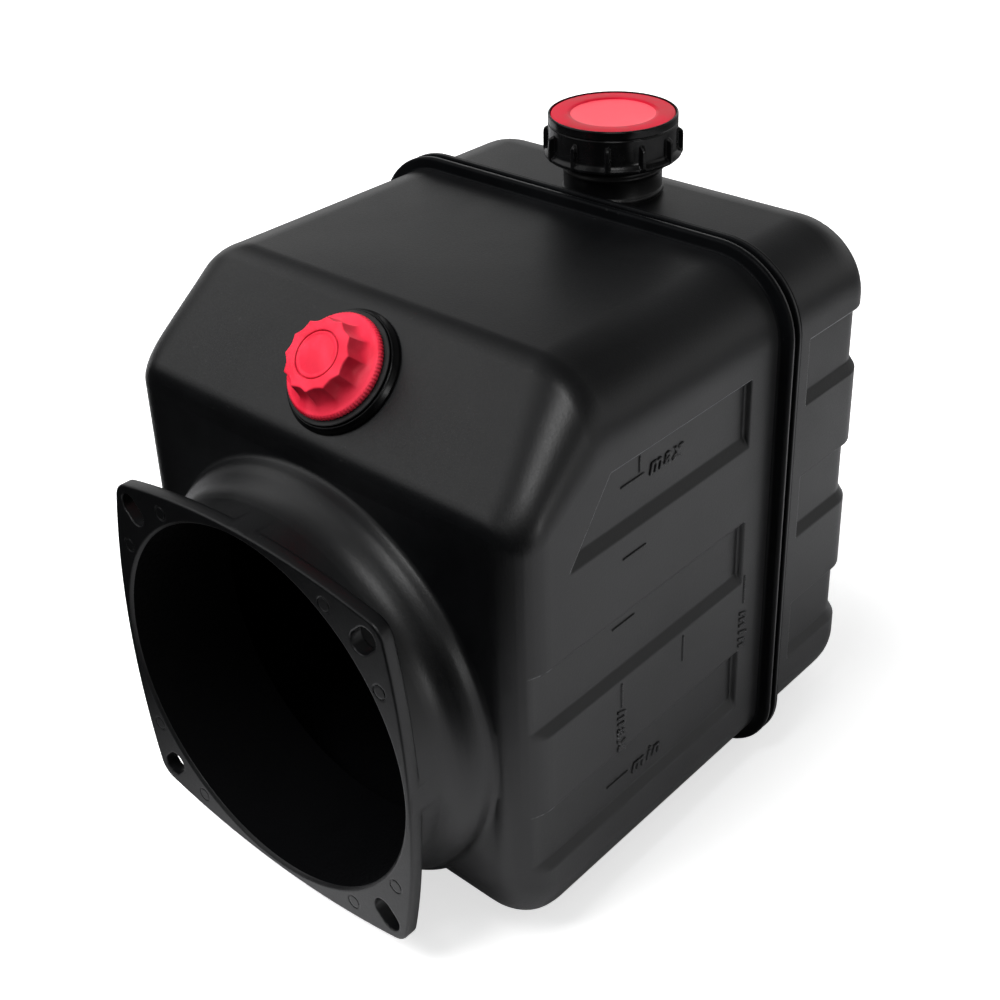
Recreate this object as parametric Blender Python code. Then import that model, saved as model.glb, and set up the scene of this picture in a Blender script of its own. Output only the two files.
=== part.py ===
"""Moulded plastic oil tank of a small hydraulic power unit.

Two black shells are welded together at a rimmed seam.  The front shell carries the pump neck
with its four-slot flange and, on its sloped shoulder, a red breather plug in a threaded boss.
The rear shell carries the threaded filler neck with its strainer and its two-piece screw cap.

Lengths are in millimetres and are scaled to metres when a mesh is made.  The shells are drawn in
the tank frame: x to the right, y from the front wall to the rear, z up from the neck's axis.
"""

import math

import bmesh
import bpy
from mathutils import Matrix, Vector

MM = 0.001
GAP = 0.3
THREAD_CLEARANCE = 0.5
THREAD_ROWS_PER_PITCH = 4
NECK_FACETS = 60
CAP_FACETS = 60
HEAD_FACETS = 72
FILLER_FACETS = 40
PLUG_FACETS = 32

# Tank body
HALF_WIDTH = 100.0
BODY_TOP = 137.5
BODY_BOTTOM = -81.0
BODY_DEPTH = 217.0
WALL = 4.5
TOP_EDGE_RADIUS = 29.0
SHOULDER_EDGE_RADIUS = 17.0
BOTTOM_EDGE_RADIUS = 22.0
FRONT_SIDE_FILLET = 14.0
FRONT_BOTTOM_FILLET = 22.0
REAR_SIDE_FILLET = 16.0
REAR_TOP_FILLET = 24.0
REAR_BOTTOM_FILLET = 20.0
REAR_SHELL_INSET = 0.8
REAR_WALL_Y = BODY_DEPTH - REAR_SHELL_INSET

# Shoulder: the 45 degree slope between the front wall and the top
SHOULDER = 40.5
SHOULDER_FOOT_RADIUS = 10.0
SHOULDER_HEAD_RADIUS = 14.0

# Welded seam
SEAM_Y = 149.0
SEAM_GAP = 2.4
RIM_HEIGHT = 5.0
RIM_THICKNESS = 2.9
BEAD_HEIGHT = 1.0

# Pump neck and its flange
NECK_LENGTH = 33.0
BORE_RADIUS = 74.0
NECK_RADIUS = 77.5
NECK_COLLAR_RADIUS = 86.3
NECK_COLLAR_DEPTH = 8.0
NECK_COLLAR_SEAT = 5.0
NECK_SPIGOT_RADIUS = 78.1
NECK_SPIGOT_DEPTH = 16.5
FLANGE_THICKNESS = 5.5
FLANGE_HALF_WIDTH = 77.4
FLANGE_SIDE_ARC = 305.0
FLANGE_CORNER_RADIUS = 8.0
SLOT_OFFSET = 61.0
SLOT_LENGTH = 13.7
SLOT_WIDTH = 9.2

# Side recesses
RECESS_DEPTH = 2.5
RECESS_PITCH = 61.0
RECESS_TOP = 101.5
RECESS_HEIGHT = 29.0
RECESS_FOOT_RAMP = 5.0
RECESS_REAR_END = 128.0
REAR_RECESS_START = 168.0

# Filler neck and its screw cap, heights above the tank's top
FILLER_Y = 174.5
FILLER_HOLE_RADIUS = 19.4
FILLER_BORE_RADIUS = 16.8
FILLER_FOOT_RADIUS = 20.5
FILLER_THREAD_ROOT = 19.9
FILLER_THREAD_CREST = 21.2
FILLER_THREAD_PITCH = 4.0
FILLER_RIM = 22.5
CAP_BOTTOM = 14.5
CAP_TOP = 32.0
CAP_RADIUS = 25.9
CAP_LUG_RADIUS = 28.0
CAP_LUG_TOP = 25.5
CAP_LUGS = 12
INSERT_RADIUS = 24.9
INSERT_DISH_RADIUS = 17.0
STRAINER_RADIUS = 16.3
STRAINER_DEPTH = 52.0
STRAINER_WINDOWS = 8
STRAINER_RIB = 1.2
STRAINER_FLOOR = 3.0

# Breather plug, heights above the shoulder
BREATHER_X = 2.2
BREATHER_HOLE_RADIUS = 17.3
BOSS_RADIUS = 23.6
BOSS_TOP_RADIUS = 22.5
BOSS_TOP = 3.2
BOSS_BOTTOM = -9.6
GASKET_RADIUS = 21.6
STEM_BOTTOM = -12.0
PLUG_THREAD_CREST = 13.2
PLUG_THREAD_ROOT = 12.3
PLUG_THREAD_PITCH = 2.0
HEAD_LOBES = 12
HEAD_TOP = 16.5
HEAD_FLANGE_RADIUS = 20.1
HEAD_DISC_RADIUS = 8.7

# Places of the tank frame, the filler and the breather
TANK_FRAME = Vector((0.0, -(REAR_WALL_Y - NECK_LENGTH) / 2, RIM_HEIGHT - BODY_BOTTOM))
FILLER_PLACE = Vector((0.0, FILLER_Y, BODY_TOP))
BREATHER_PLACE = Vector((BREATHER_X, SHOULDER / 2, BODY_TOP - SHOULDER / 2))
NECK_TURN = Matrix.Rotation(math.radians(90), 4, "X")
SHOULDER_TURN = Matrix.Rotation(math.radians(45), 4, "X")


# ---------------------------------------------------------------- scene and materials

def clear_scene():
    for old in list(bpy.data.objects):
        bpy.data.objects.remove(old, do_unlink=True)


def material(name, colour, roughness, metallic=0.0):
    mat = bpy.data.materials.new(name)
    mat.use_nodes = True
    shader = mat.node_tree.nodes["Principled BSDF"]
    shader.inputs["Base Color"].default_value = (*colour, 1.0)
    shader.inputs["Roughness"].default_value = roughness
    shader.inputs["Metallic"].default_value = metallic
    return mat


def add_object(name, mesh_data, mat, parent, place=None, turn=None):
    for polygon in mesh_data.polygons:
        polygon.use_smooth = True
    mesh_data.set_sharp_from_angle(angle=math.radians(35))
    mesh_data.materials.append(mat)
    part = bpy.data.objects.new(name, mesh_data)
    bpy.context.collection.objects.link(part)
    part.parent = parent
    matrix = Matrix.Translation((place or Vector()) * MM)
    part.matrix_local = matrix @ turn if turn else matrix
    return part


def hide_cutter(cutter):
    cutter.hide_render = True
    cutter.display_type = "WIRE"
    return cutter


def boolean(target, tool):
    mod = target.modifiers.new(f"cut by {tool.name}", "BOOLEAN")
    mod.operation = "DIFFERENCE"
    mod.object = tool
    mod.solver = "EXACT"


# ---------------------------------------------------------------- mesh makers

def mesh_from(name, points, faces):
    """A mesh in metres from points in millimetres, with its faces turned outwards."""
    data = bpy.data.meshes.new(name)
    bm = bmesh.new()
    corners = [bm.verts.new(Vector(p) * MM) for p in points]
    for face in faces:
        bm.faces.new([corners[i] for i in face])
    bmesh.ops.recalc_face_normals(bm, faces=bm.faces)
    bm.to_mesh(data)
    bm.free()
    return data


def skin(name, loops, ends):
    """A mesh over loops of equally many points; ends are capped, or joined into a ring."""
    count = len(loops[0])
    points = [p for loop in loops for p in loop]
    faces = []
    rows = len(loops)
    last = rows if ends == "join" else rows - 1
    for row in range(last):
        low = row * count
        high = ((row + 1) % rows) * count
        for i in range(count):
            j = (i + 1) % count
            faces.append((low + i, low + j, high + j, high + i))
    if ends == "cap":
        faces.append(tuple(range(count)))
        faces.append(tuple(range((rows - 1) * count, rows * count)))
    return mesh_from(name, points, faces)


def ring_loop(radius, height, facets):
    """One loop about the local z axis; radius is a number or a function of the angle."""
    loop = []
    for i in range(facets):
        angle = 2 * math.pi * i / facets
        r = radius(angle) if callable(radius) else radius
        loop.append((r * math.cos(angle), r * math.sin(angle), height))
    return loop


def turned(name, profile, facets, ends="cap"):
    """A turned mesh from (radius, height) pairs."""
    return skin(name, [ring_loop(r, h, facets) for r, h in profile], ends)


def thread_profile(root, crest, pitch, low, high, groove=False):
    """Rows of a right-hand thread of rounded form that fades out at its ends.

    A groove is the thread that such a ridge runs in: its crest is the larger radius.
    """
    rows = round((high - low) / pitch * THREAD_ROWS_PER_PITCH)
    profile = []
    for row in range(rows + 1):
        height = low + (high - low) * row / rows
        fade = min(1.0, (height - low) / (0.5 * pitch), (high - height) / (0.5 * pitch))

        def radius(angle, height=height, fade=fade):
            swing = math.cos(2 * math.pi * height / pitch - angle)
            if groove:
                return crest - (crest - root) * (0.5 + 0.5 * swing) * fade
            return root + (crest - root) * (0.5 - 0.5 * swing) * fade

        profile.append((radius, height))
    return profile


def box(name, low, high):
    (x0, y0, z0), (x1, y1, z1) = low, high
    bottom = [(x0, y0, z0), (x1, y0, z0), (x1, y1, z0), (x0, y1, z0)]
    top = [(x, y, z1) for x, y, _ in bottom]
    return skin(name, [bottom, top], "cap")


def arc(cx, cy, radius, start, end, steps):
    """Points of an arc, angles in degrees."""
    points = []
    for i in range(steps + 1):
        angle = math.radians(start + (end - start) * i / steps)
        points.append((cx + radius * math.cos(angle), cy + radius * math.sin(angle)))
    return points


# ---------------------------------------------------------------- tank body

def fillet_inset(distance, radius):
    """How far a rounded edge stands back at a distance from the wall it rounds off."""
    if distance >= radius:
        return 0.0
    return radius - math.sqrt(radius ** 2 - (radius - distance) ** 2)


def shoulder_height(y):
    """Height of the front shell's upper outline: front wall, slope and top, with soft bends."""
    foot = SHOULDER_FOOT_RADIUS
    head = SHOULDER_HEAD_RADIUS
    foot_tangent = foot * math.tan(math.radians(22.5))
    head_tangent = head * math.tan(math.radians(22.5))
    slope_base = BODY_TOP - SHOULDER
    if y < foot * (1 - math.sqrt(0.5)):
        return slope_base - foot_tangent + math.sqrt(foot ** 2 - (foot - y) ** 2)
    if y < SHOULDER - head_tangent * math.sqrt(0.5):
        return slope_base + y
    if y < SHOULDER + head_tangent:
        return BODY_TOP - head + math.sqrt(head ** 2 - (SHOULDER + head_tangent - y) ** 2)
    return BODY_TOP


def outline(half_width, bottom, top, top_radius, bottom_radius):
    """Rounded section of the body, as (x, z) points."""
    points = arc(half_width - bottom_radius, bottom + bottom_radius, bottom_radius, -90, 0, 5)
    points += arc(half_width - top_radius, top - top_radius, top_radius, 0, 90, 7)
    points += arc(top_radius - half_width, top - top_radius, top_radius, 90, 180, 7)
    points += arc(bottom_radius - half_width, bottom + bottom_radius, bottom_radius, 180, 270, 5)
    return points


def front_section(y, offset=0.0):
    """Section of the front shell at depth y, grown outwards by offset."""
    depth = y + offset
    side = fillet_inset(depth, FRONT_SIDE_FILLET + offset)
    under = fillet_inset(depth, FRONT_BOTTOM_FILLET + offset)
    if offset < 0:
        slope = BODY_TOP - SHOULDER + y + offset * math.sqrt(2)
        top = min(BODY_TOP + offset, slope)
    else:
        top = shoulder_height(y) + offset
    blend = min(1.0, y / (SHOULDER + 10))
    corner = SHOULDER_EDGE_RADIUS + (TOP_EDGE_RADIUS - SHOULDER_EDGE_RADIUS) * blend ** 2 * (3 - 2 * blend)
    points = outline(
        HALF_WIDTH - side + offset,
        BODY_BOTTOM + under - offset,
        top,
        max(3.0, corner - side + offset),
        max(4.0, BOTTOM_EDGE_RADIUS - side + offset),
    )
    return [(x, y, z) for x, z in points]


def rear_section(y, offset=0.0):
    """Section of the rear shell at depth y, grown outwards by offset."""
    inward = min(0.0, offset)
    depth = REAR_WALL_Y + inward - y
    side = fillet_inset(depth, REAR_SIDE_FILLET + inward)
    over = fillet_inset(depth, REAR_TOP_FILLET + inward)
    under = fillet_inset(depth, REAR_BOTTOM_FILLET + inward)
    grow = offset - REAR_SHELL_INSET
    points = outline(
        HALF_WIDTH - side + grow,
        BODY_BOTTOM + under - grow,
        BODY_TOP - over + grow,
        max(8.0, TOP_EDGE_RADIUS - side + grow),
        max(6.0, BOTTOM_EDGE_RADIUS - side + grow),
    )
    return [(x, y, z) for x, z in points]


def rim_profile(height):
    """A rim's (distance from its seam face, height) pairs, from the face to the foot."""
    back = RIM_THICKNESS
    return [(0.0, height - 0.4), (0.4, height), (back - 0.6, height), (back, height - 0.6),
            (back + 0.8, 0.7), (back + 4.5, 0.0)]


def front_body():
    foot = SHOULDER_FOOT_RADIUS * (1 - math.sqrt(0.5))
    depths = [0.0, 0.8, foot, 6.0, 10.0, 14.0, 22.0, 29.0, 36.4, 39.0, 42.5, 46.3, 51.0]
    sections = [front_section(y) for y in depths]
    seam_face = SEAM_Y - SEAM_GAP / 2
    sections += [front_section(seam_face - d, grow) for d, grow in reversed(rim_profile(RIM_HEIGHT))]
    return skin("front_body", sections, "cap")


def front_cavity():
    slope_end = SHOULDER + WALL * (math.sqrt(2) - 1)
    depths = [WALL, WALL + 1.2, WALL + 4.0, WALL + 9.5, WALL + 17.5, 30.0, slope_end, 51.0, SEAM_Y]
    return skin("front_cavity", [front_section(y, -WALL) for y in depths], "cap")


def rear_body():
    seam_face = SEAM_Y + SEAM_GAP / 2
    height = RIM_HEIGHT + REAR_SHELL_INSET
    sections = [rear_section(seam_face + d, grow) for d, grow in rim_profile(height)]
    for from_back in (24.0, 16.0, 10.0, 6.0, 3.0, 1.2, 0.3, 0.0):
        sections.append(rear_section(REAR_WALL_Y - from_back))
    return skin("rear_body", sections, "cap")


def rear_cavity():
    sections = [rear_section(SEAM_Y, -WALL)]
    for from_back in (20.0, 12.0, 6.0, 2.0, 0.0):
        sections.append(rear_section(REAR_WALL_Y - WALL - from_back, -WALL))
    return skin("rear_cavity", sections, "cap")


def side_recess(name, side, top, bottom, front_top, front_bottom, rear):
    """A tapered cutter for one shallow recess in a side wall; side is 1 or -1."""
    def polygon(shrink_side, shrink_foot, shrink_top):
        return [(front_bottom + shrink_side, bottom + shrink_foot), (rear - shrink_side, bottom + shrink_foot),
                (rear - shrink_side, top - shrink_top), (front_top + shrink_side, top - shrink_top)]

    floor = polygon(1.5, RECESS_FOOT_RAMP, 0.6)
    per_mm = 1.0 / RECESS_DEPTH
    mouth = polygon(-1.5 * per_mm, -RECESS_FOOT_RAMP * per_mm, -0.6 * per_mm)
    loops = [[(side * (HALF_WIDTH - RECESS_DEPTH), y, z) for y, z in floor],
             [(side * (HALF_WIDTH + 1.0), y, z) for y, z in mouth]]
    return skin(name, loops, "cap")


def rear_recess(name, top, bottom):
    """A cutter for one recess that runs from a side wall round the back to the other side."""
    radius = REAR_SIDE_FILLET
    half = HALF_WIDTH - REAR_SHELL_INSET
    path = [(half, REAR_RECESS_START, 0.0)]
    path += [(half - radius + radius * math.cos(math.radians(a)),
              REAR_WALL_Y - radius + radius * math.sin(math.radians(a)), a) for a in range(0, 91, 15)]
    path += [(-x, y, 180.0 - a) for x, y, a in reversed(path)]
    section = [(1.0, top + 0.25), (-RECESS_DEPTH, top - 0.6), (-RECESS_DEPTH, bottom + RECESS_FOOT_RAMP),
               (1.0, bottom - RECESS_FOOT_RAMP / RECESS_DEPTH)]
    loops = []
    for x, y, angle in path:
        nx = math.cos(math.radians(angle))
        ny = math.sin(math.radians(angle))
        loops.append([(x + nx * out, y + ny * out, z) for out, z in section])
    return skin(name, loops, "cap")


def seam_bead():
    outer_grow = BEAD_HEIGHT
    thickness = SEAM_GAP - 2 * GAP
    y0 = SEAM_Y - thickness / 2
    y1 = SEAM_Y + thickness / 2
    loops = []
    for y, grow in ((y0, -WALL), (y0, outer_grow), (y1, outer_grow), (y1, -WALL)):
        loops.append([(x, y, z) for x, _, z in front_section(SEAM_Y, grow)])
    return skin("seam_weld_bead", loops, "join")


# ---------------------------------------------------------------- pump neck

def pump_neck():
    """The neck with its collar and spigot, about local z, which points out of the front wall."""
    collar = NECK_COLLAR_RADIUS
    depth = NECK_COLLAR_DEPTH
    spigot = NECK_SPIGOT_RADIUS
    seat = -NECK_COLLAR_SEAT
    outer = [(spigot, -NECK_SPIGOT_DEPTH), (spigot, seat), (collar, seat), (collar, depth - 5.0)]
    outer += [(r, h) for r, h in arc(collar - 5.0, depth - 5.0, 5.0, 22.5, 90, 3)]
    outer += [(NECK_RADIUS + 1.4, depth + 0.5), (NECK_RADIUS + 0.3, depth + 1.7), (NECK_RADIUS, depth + 4.0)]
    end = NECK_LENGTH - FLANGE_THICKNESS - GAP
    inner = [(NECK_RADIUS, end), (BORE_RADIUS, end), (BORE_RADIUS, -NECK_SPIGOT_DEPTH)]
    return turned("pump_neck", outer + inner, NECK_FACETS, "join")


def flange_plate():
    """Square plate with bowed sides and rounded corners."""
    corner = FLANGE_CORNER_RADIUS
    bow = FLANGE_SIDE_ARC
    centre = FLANGE_HALF_WIDTH - bow
    reach = math.sqrt(((bow - corner) ** 2 - (centre ** 2) / 2)) - abs(centre) / math.sqrt(2)
    side_angle = math.degrees(math.atan2(reach / math.sqrt(2), reach / math.sqrt(2) - centre))
    quarter = arc(centre, 0.0, bow, -side_angle, side_angle, 6)
    quarter += arc(reach / math.sqrt(2), reach / math.sqrt(2), corner, side_angle, 90 - side_angle, 4)[1:-1]
    points = []
    for turn in range(4):
        cos, sin = round(math.cos(turn * math.pi / 2)), round(math.sin(turn * math.pi / 2))
        points += [(x * cos - y * sin, x * sin + y * cos) for x, y in quarter]
    back = NECK_LENGTH - FLANGE_THICKNESS
    edge = 0.6
    loops = []
    drawn_in = 1.0 - edge / FLANGE_HALF_WIDTH
    for height, scale in ((back, 1.0), (NECK_LENGTH - edge, 1.0), (NECK_LENGTH, drawn_in)):
        loops.append([(x * scale, y * scale, height) for x, y in points])
    return skin("pump_flange", loops, "cap")


def bore_cutter():
    edge = 1.2
    low = NECK_LENGTH - FLANGE_THICKNESS - 3.0
    profile = [(BORE_RADIUS, low), (BORE_RADIUS, NECK_LENGTH - edge)]
    profile.append((BORE_RADIUS + 2 * edge, NECK_LENGTH + edge))
    return turned("bore_cutter", profile, NECK_FACETS)


def neck_hole():
    """Hole in the front wall that the neck's collar and spigot sit in."""
    spigot = NECK_SPIGOT_RADIUS + GAP
    collar = NECK_COLLAR_RADIUS + GAP
    seat = -NECK_COLLAR_SEAT - GAP
    low = -NECK_SPIGOT_DEPTH - 1.5
    return turned("neck_hole", [(spigot, low), (spigot, seat), (collar, seat), (collar, 20.0)], NECK_FACETS)


def slot_cutter(name, turn):
    """One bolt slot, with its length along the flange's diagonal."""
    straight = (SLOT_LENGTH - SLOT_WIDTH) / 2
    radius = SLOT_WIDTH / 2
    shape = arc(straight, 0.0, radius, -90, 90, 6) + arc(-straight, 0.0, radius, 90, 270, 6)
    cos, sin = math.cos(turn), math.sin(turn)
    reach = SLOT_OFFSET * math.sqrt(2)
    flat = [((x + reach) * cos - y * sin, (x + reach) * sin + y * cos) for x, y in shape]
    loops = [[(x, y, h) for x, y in flat] for h in (NECK_LENGTH - FLANGE_THICKNESS - 3, NECK_LENGTH + 3)]
    return skin(name, loops, "cap")


# ---------------------------------------------------------------- the two shells

def build_front_shell(frame, plastic):
    shell = add_object("front_shell", front_body(), plastic, frame)

    def tool(data, place=None, turn=None):
        return hide_cutter(add_object(data.name, data, plastic, frame, place, turn))

    boolean(shell, tool(front_cavity()))
    boolean(shell, tool(neck_hole(), turn=NECK_TURN))
    hole = turned("breather_hole", [(BREATHER_HOLE_RADIUS, -20.0), (BREATHER_HOLE_RADIUS, 20.0)], PLUG_FACETS)
    boolean(shell, tool(hole, BREATHER_PLACE, SHOULDER_TURN))
    for side in (1, -1):
        for row in range(3):
            top = RECESS_TOP - row * RECESS_PITCH
            bottom = top - RECESS_HEIGHT
            front_top, front_bottom = (45.6, 23.6) if row == 0 else (-6.0, -6.0)
            name = f"front_recess_{row + 1}_{'right' if side > 0 else 'left'}"
            boolean(shell, tool(side_recess(name, side, top, bottom, front_top, front_bottom, RECESS_REAR_END)))
    return shell


def build_pump_neck(frame, plastic):
    """The neck, and the slotted flange in front of it."""
    neck = add_object("pump_neck", pump_neck(), plastic, frame, turn=NECK_TURN)
    under = box("neck_underside", (-100, -15, -120), (100, 30, -NECK_SPIGOT_RADIUS - GAP))
    boolean(neck, hide_cutter(add_object(under.name, under, plastic, frame)))
    flange = add_object("pump_flange", flange_plate(), plastic, frame, turn=NECK_TURN)
    cutters = [bore_cutter()]
    cutters += [slot_cutter(f"slot_cutter_{i + 1}", math.pi * (0.25 + i / 2)) for i in range(4)]
    for cutter in cutters:
        boolean(flange, hide_cutter(add_object(cutter.name, cutter, plastic, frame, turn=NECK_TURN)))


def build_rear_shell(frame, plastic):
    shell = add_object("rear_shell", rear_body(), plastic, frame)

    def tool(data, place=None):
        return hide_cutter(add_object(data.name, data, plastic, frame, place))

    boolean(shell, tool(rear_cavity()))
    hole = turned("filler_hole", [(FILLER_HOLE_RADIUS, -12.0), (FILLER_HOLE_RADIUS, 12.0)], FILLER_FACETS)
    boolean(shell, tool(hole, FILLER_PLACE))
    for row in range(3):
        top = RECESS_TOP - row * RECESS_PITCH
        boolean(shell, tool(rear_recess(f"rear_recess_{row + 1}", top, top - RECESS_HEIGHT)))
    return shell


# ---------------------------------------------------------------- filler neck and screw cap

def filler_neck():
    spigot = FILLER_HOLE_RADIUS - GAP
    crest = FILLER_THREAD_CREST
    foot = FILLER_FOOT_RADIUS
    outer = [(spigot, -7.0), (spigot, GAP), (foot, GAP), (foot, 1.6), (FILLER_THREAD_ROOT, 2.4)]
    thread = thread_profile(FILLER_THREAD_ROOT, crest, FILLER_THREAD_PITCH, 8.5, FILLER_RIM - 1.5)
    inner = [(FILLER_THREAD_ROOT, FILLER_RIM - 0.5), (FILLER_THREAD_ROOT - 0.5, FILLER_RIM),
             (FILLER_BORE_RADIUS, FILLER_RIM), (FILLER_BORE_RADIUS, -7.0)]
    return turned("filler_neck", outer + thread + inner, FILLER_FACETS, "join")


def strainer_frame():
    """Basket of plastic ribs with a closed floor and a rim that lies on the filler neck."""
    rim = FILLER_RIM + GAP
    outer = STRAINER_RADIUS
    inner = outer - STRAINER_RIB
    seat = FILLER_THREAD_ROOT - 0.6
    floor = STRAINER_FLOOR - STRAINER_DEPTH
    profile = [(outer, -STRAINER_DEPTH), (outer, rim), (seat, rim), (seat, rim + 1.0), (inner, rim + 1.0),
               (inner, floor)]
    return turned("filler_strainer", profile, FILLER_FACETS)


def strainer_window(name, index):
    turn = 2 * math.pi * index / STRAINER_WINDOWS
    half = math.pi * STRAINER_RADIUS / STRAINER_WINDOWS - 1.4
    low = 6.0 - STRAINER_DEPTH
    high = -12.0
    loops = []
    for reach in (STRAINER_RADIUS - 3.0, STRAINER_RADIUS + 3.0):
        loop = []
        for across, height in ((-half, low), (half, low), (half, high), (-half, high)):
            loop.append((reach * math.cos(turn) - across * math.sin(turn),
                         reach * math.sin(turn) + across * math.cos(turn), height))
        loops.append(loop)
    return skin(name, loops, "cap")


def strainer_mesh():
    outer = STRAINER_RADIUS - STRAINER_RIB - GAP
    low = STRAINER_FLOOR + GAP - STRAINER_DEPTH
    profile = [(outer, low), (outer, -4.0), (outer - 0.8, -4.0), (outer - 0.8, low)]
    return turned("strainer_gauze", profile, PLUG_FACETS, "join")


def cap_ring():
    """Black ring with grip lugs outside and the thread inside."""
    def lugged(body, lug):
        def radius(angle):
            step = math.degrees(angle) % (360 / CAP_LUGS)
            return lug if step < 7.0 else body
        return radius

    body = CAP_RADIUS
    lug = CAP_LUG_RADIUS
    crest = FILLER_THREAD_CREST + THREAD_CLEARANCE
    root = FILLER_THREAD_ROOT + THREAD_CLEARANCE
    wall_low = FILLER_RIM + 5.5
    outer = [(body - 2.0, CAP_BOTTOM), (lugged(body - 0.6, lug - 0.8), CAP_BOTTOM + 0.8),
             (lugged(body, lug), CAP_BOTTOM + 2.6), (lugged(body, lug), CAP_LUG_TOP),
             (body, CAP_LUG_TOP + 1.4), (body, CAP_TOP - 0.5), (body - 0.3, CAP_TOP)]
    inner = [(INSERT_RADIUS + GAP, CAP_TOP), (INSERT_RADIUS + GAP, wall_low + 1.4), (14.9, wall_low + 1.4),
             (14.9, wall_low), (crest, wall_low)]
    thread = thread_profile(root, crest, FILLER_THREAD_PITCH, CAP_BOTTOM + 0.4, FILLER_RIM + 0.2, True)
    return turned("filler_cap_ring", outer + inner + thread[::-1], CAP_FACETS, "join")


def cap_insert():
    """Red disc with a shallow dish, and a boss that passes down through the ring."""
    low = FILLER_RIM + 5.5
    face = low + 1.4 + GAP
    top = CAP_TOP - 0.3
    profile = [(14.6, low), (14.6, face), (INSERT_RADIUS, face), (INSERT_RADIUS, top - 0.4),
               (INSERT_RADIUS - 0.5, top), (INSERT_DISH_RADIUS + 0.6, top), (INSERT_DISH_RADIUS - 0.4, top - 0.7)]
    return turned("filler_cap_insert", profile, FILLER_FACETS)


def plain_ring(name, outer, inner, low, high):
    return turned(name, [(outer, low), (outer, high), (inner, high), (inner, low)], PLUG_FACETS, "join")


def plain_disc(name, radius, low, high):
    return turned(name, [(radius, low), (radius, high)], PLUG_FACETS)


def build_filler(frame, black, glossy, red, rubber, foam, gauze):
    add_object("filler_neck", filler_neck(), black, frame, FILLER_PLACE)
    strainer = add_object("filler_strainer", strainer_frame(), black, frame, FILLER_PLACE)
    for i in range(STRAINER_WINDOWS):
        window = strainer_window(f"strainer_window_{i + 1}", i)
        boolean(strainer, hide_cutter(add_object(window.name, window, black, frame, FILLER_PLACE)))
    add_object("strainer_gauze", strainer_mesh(), gauze, frame, FILLER_PLACE)

    seat = FILLER_RIM + GAP + 1.0
    seal = plain_ring("filler_cap_gasket", FILLER_THREAD_ROOT - 0.3, 16.6, seat + GAP, seat + 2.0)
    add_object("filler_cap_gasket", seal, rubber, frame, FILLER_PLACE)
    plate = plain_ring("filler_cap_seal_plate", FILLER_THREAD_ROOT - 0.3, 9.3, seat + 2.3, FILLER_RIM + 5.2)
    add_object("filler_cap_seal_plate", plate, black, frame, FILLER_PLACE)
    vent = plain_disc("filler_cap_vent_foam", 9.0, seat + 2.3, FILLER_RIM + 5.2)
    add_object("filler_cap_vent_foam", vent, foam, frame, FILLER_PLACE)
    add_object("filler_cap_insert", cap_insert(), red, frame, FILLER_PLACE)
    add_object("filler_cap_ring", cap_ring(), glossy, frame, FILLER_PLACE)


# ---------------------------------------------------------------- breather plug

def breather_boss():
    """Glossy threaded boss, seated in the hole in the shoulder."""
    spigot = BREATHER_HOLE_RADIUS - GAP
    crest = PLUG_THREAD_CREST + THREAD_CLEARANCE
    root = PLUG_THREAD_ROOT + THREAD_CLEARANCE
    outer = [(spigot, BOSS_BOTTOM), (spigot, GAP), (BOSS_RADIUS, GAP), (BOSS_RADIUS, 0.8),
             (BOSS_TOP_RADIUS, BOSS_TOP - 0.5), (BOSS_TOP_RADIUS - 0.5, BOSS_TOP), (crest, BOSS_TOP)]
    thread = thread_profile(root, crest, PLUG_THREAD_PITCH, BOSS_BOTTOM + 0.6, 1.2, True)
    inner = thread[::-1] + [(crest, BOSS_BOTTOM)]
    return turned("breather_boss", outer + inner, PLUG_FACETS, "join")


def breather_head():
    """Red cap: knurled flange, twelve grip lobes, and a socket for the stem underneath."""
    def lobed(tip, valley):
        return lambda angle: (tip + valley) / 2 + (tip - valley) / 2 * math.cos(HEAD_LOBES * angle)

    def knurled(crest, root):
        return lambda angle: crest if round(math.degrees(angle) / 5) % 2 else root

    outer = [(HEAD_FLANGE_RADIUS - 0.8, 4.7), (knurled(HEAD_FLANGE_RADIUS, HEAD_FLANGE_RADIUS - 0.4), 5.2),
             (knurled(19.7, 19.3), 6.7), (19.0, 7.3), (lobed(16.9, 16.3), 8.2), (lobed(15.4, 14.0), 10.0),
             (lobed(13.9, 12.9), HEAD_TOP - 0.5), (lobed(13.5, 12.6), HEAD_TOP)]
    pocket = [(HEAD_DISC_RADIUS + GAP, HEAD_TOP), (HEAD_DISC_RADIUS + GAP, HEAD_TOP - 1.0)]
    return turned("breather_head", outer + pocket, HEAD_FACETS)


def breather_stem():
    """Hollow threaded stem with a collar that the head is pressed over."""
    thread = thread_profile(PLUG_THREAD_ROOT, PLUG_THREAD_CREST, PLUG_THREAD_PITCH, STEM_BOTTOM + 1.0, 1.8)
    outer = [(PLUG_THREAD_ROOT - 0.8, STEM_BOTTOM)] + thread
    outer += [(PLUG_THREAD_ROOT, 4.4), (11.4, 4.8), (11.4, 13.0)]
    inner = [(9.2, 13.0), (9.2, STEM_BOTTOM)]
    return turned("breather_stem", outer + inner, PLUG_FACETS, "join")


def splash_guard():
    """Small cup with a slotted floor that closes the stem's lower end."""
    low = STEM_BOTTOM + 0.2
    profile = [(8.9, low), (8.9, low + 2.2), (7.6, low + 2.2), (7.6, low + 1.0), (2.4, low + 1.0), (2.4, low)]
    return turned("breather_splash_guard", profile, PLUG_FACETS, "join")


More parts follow.
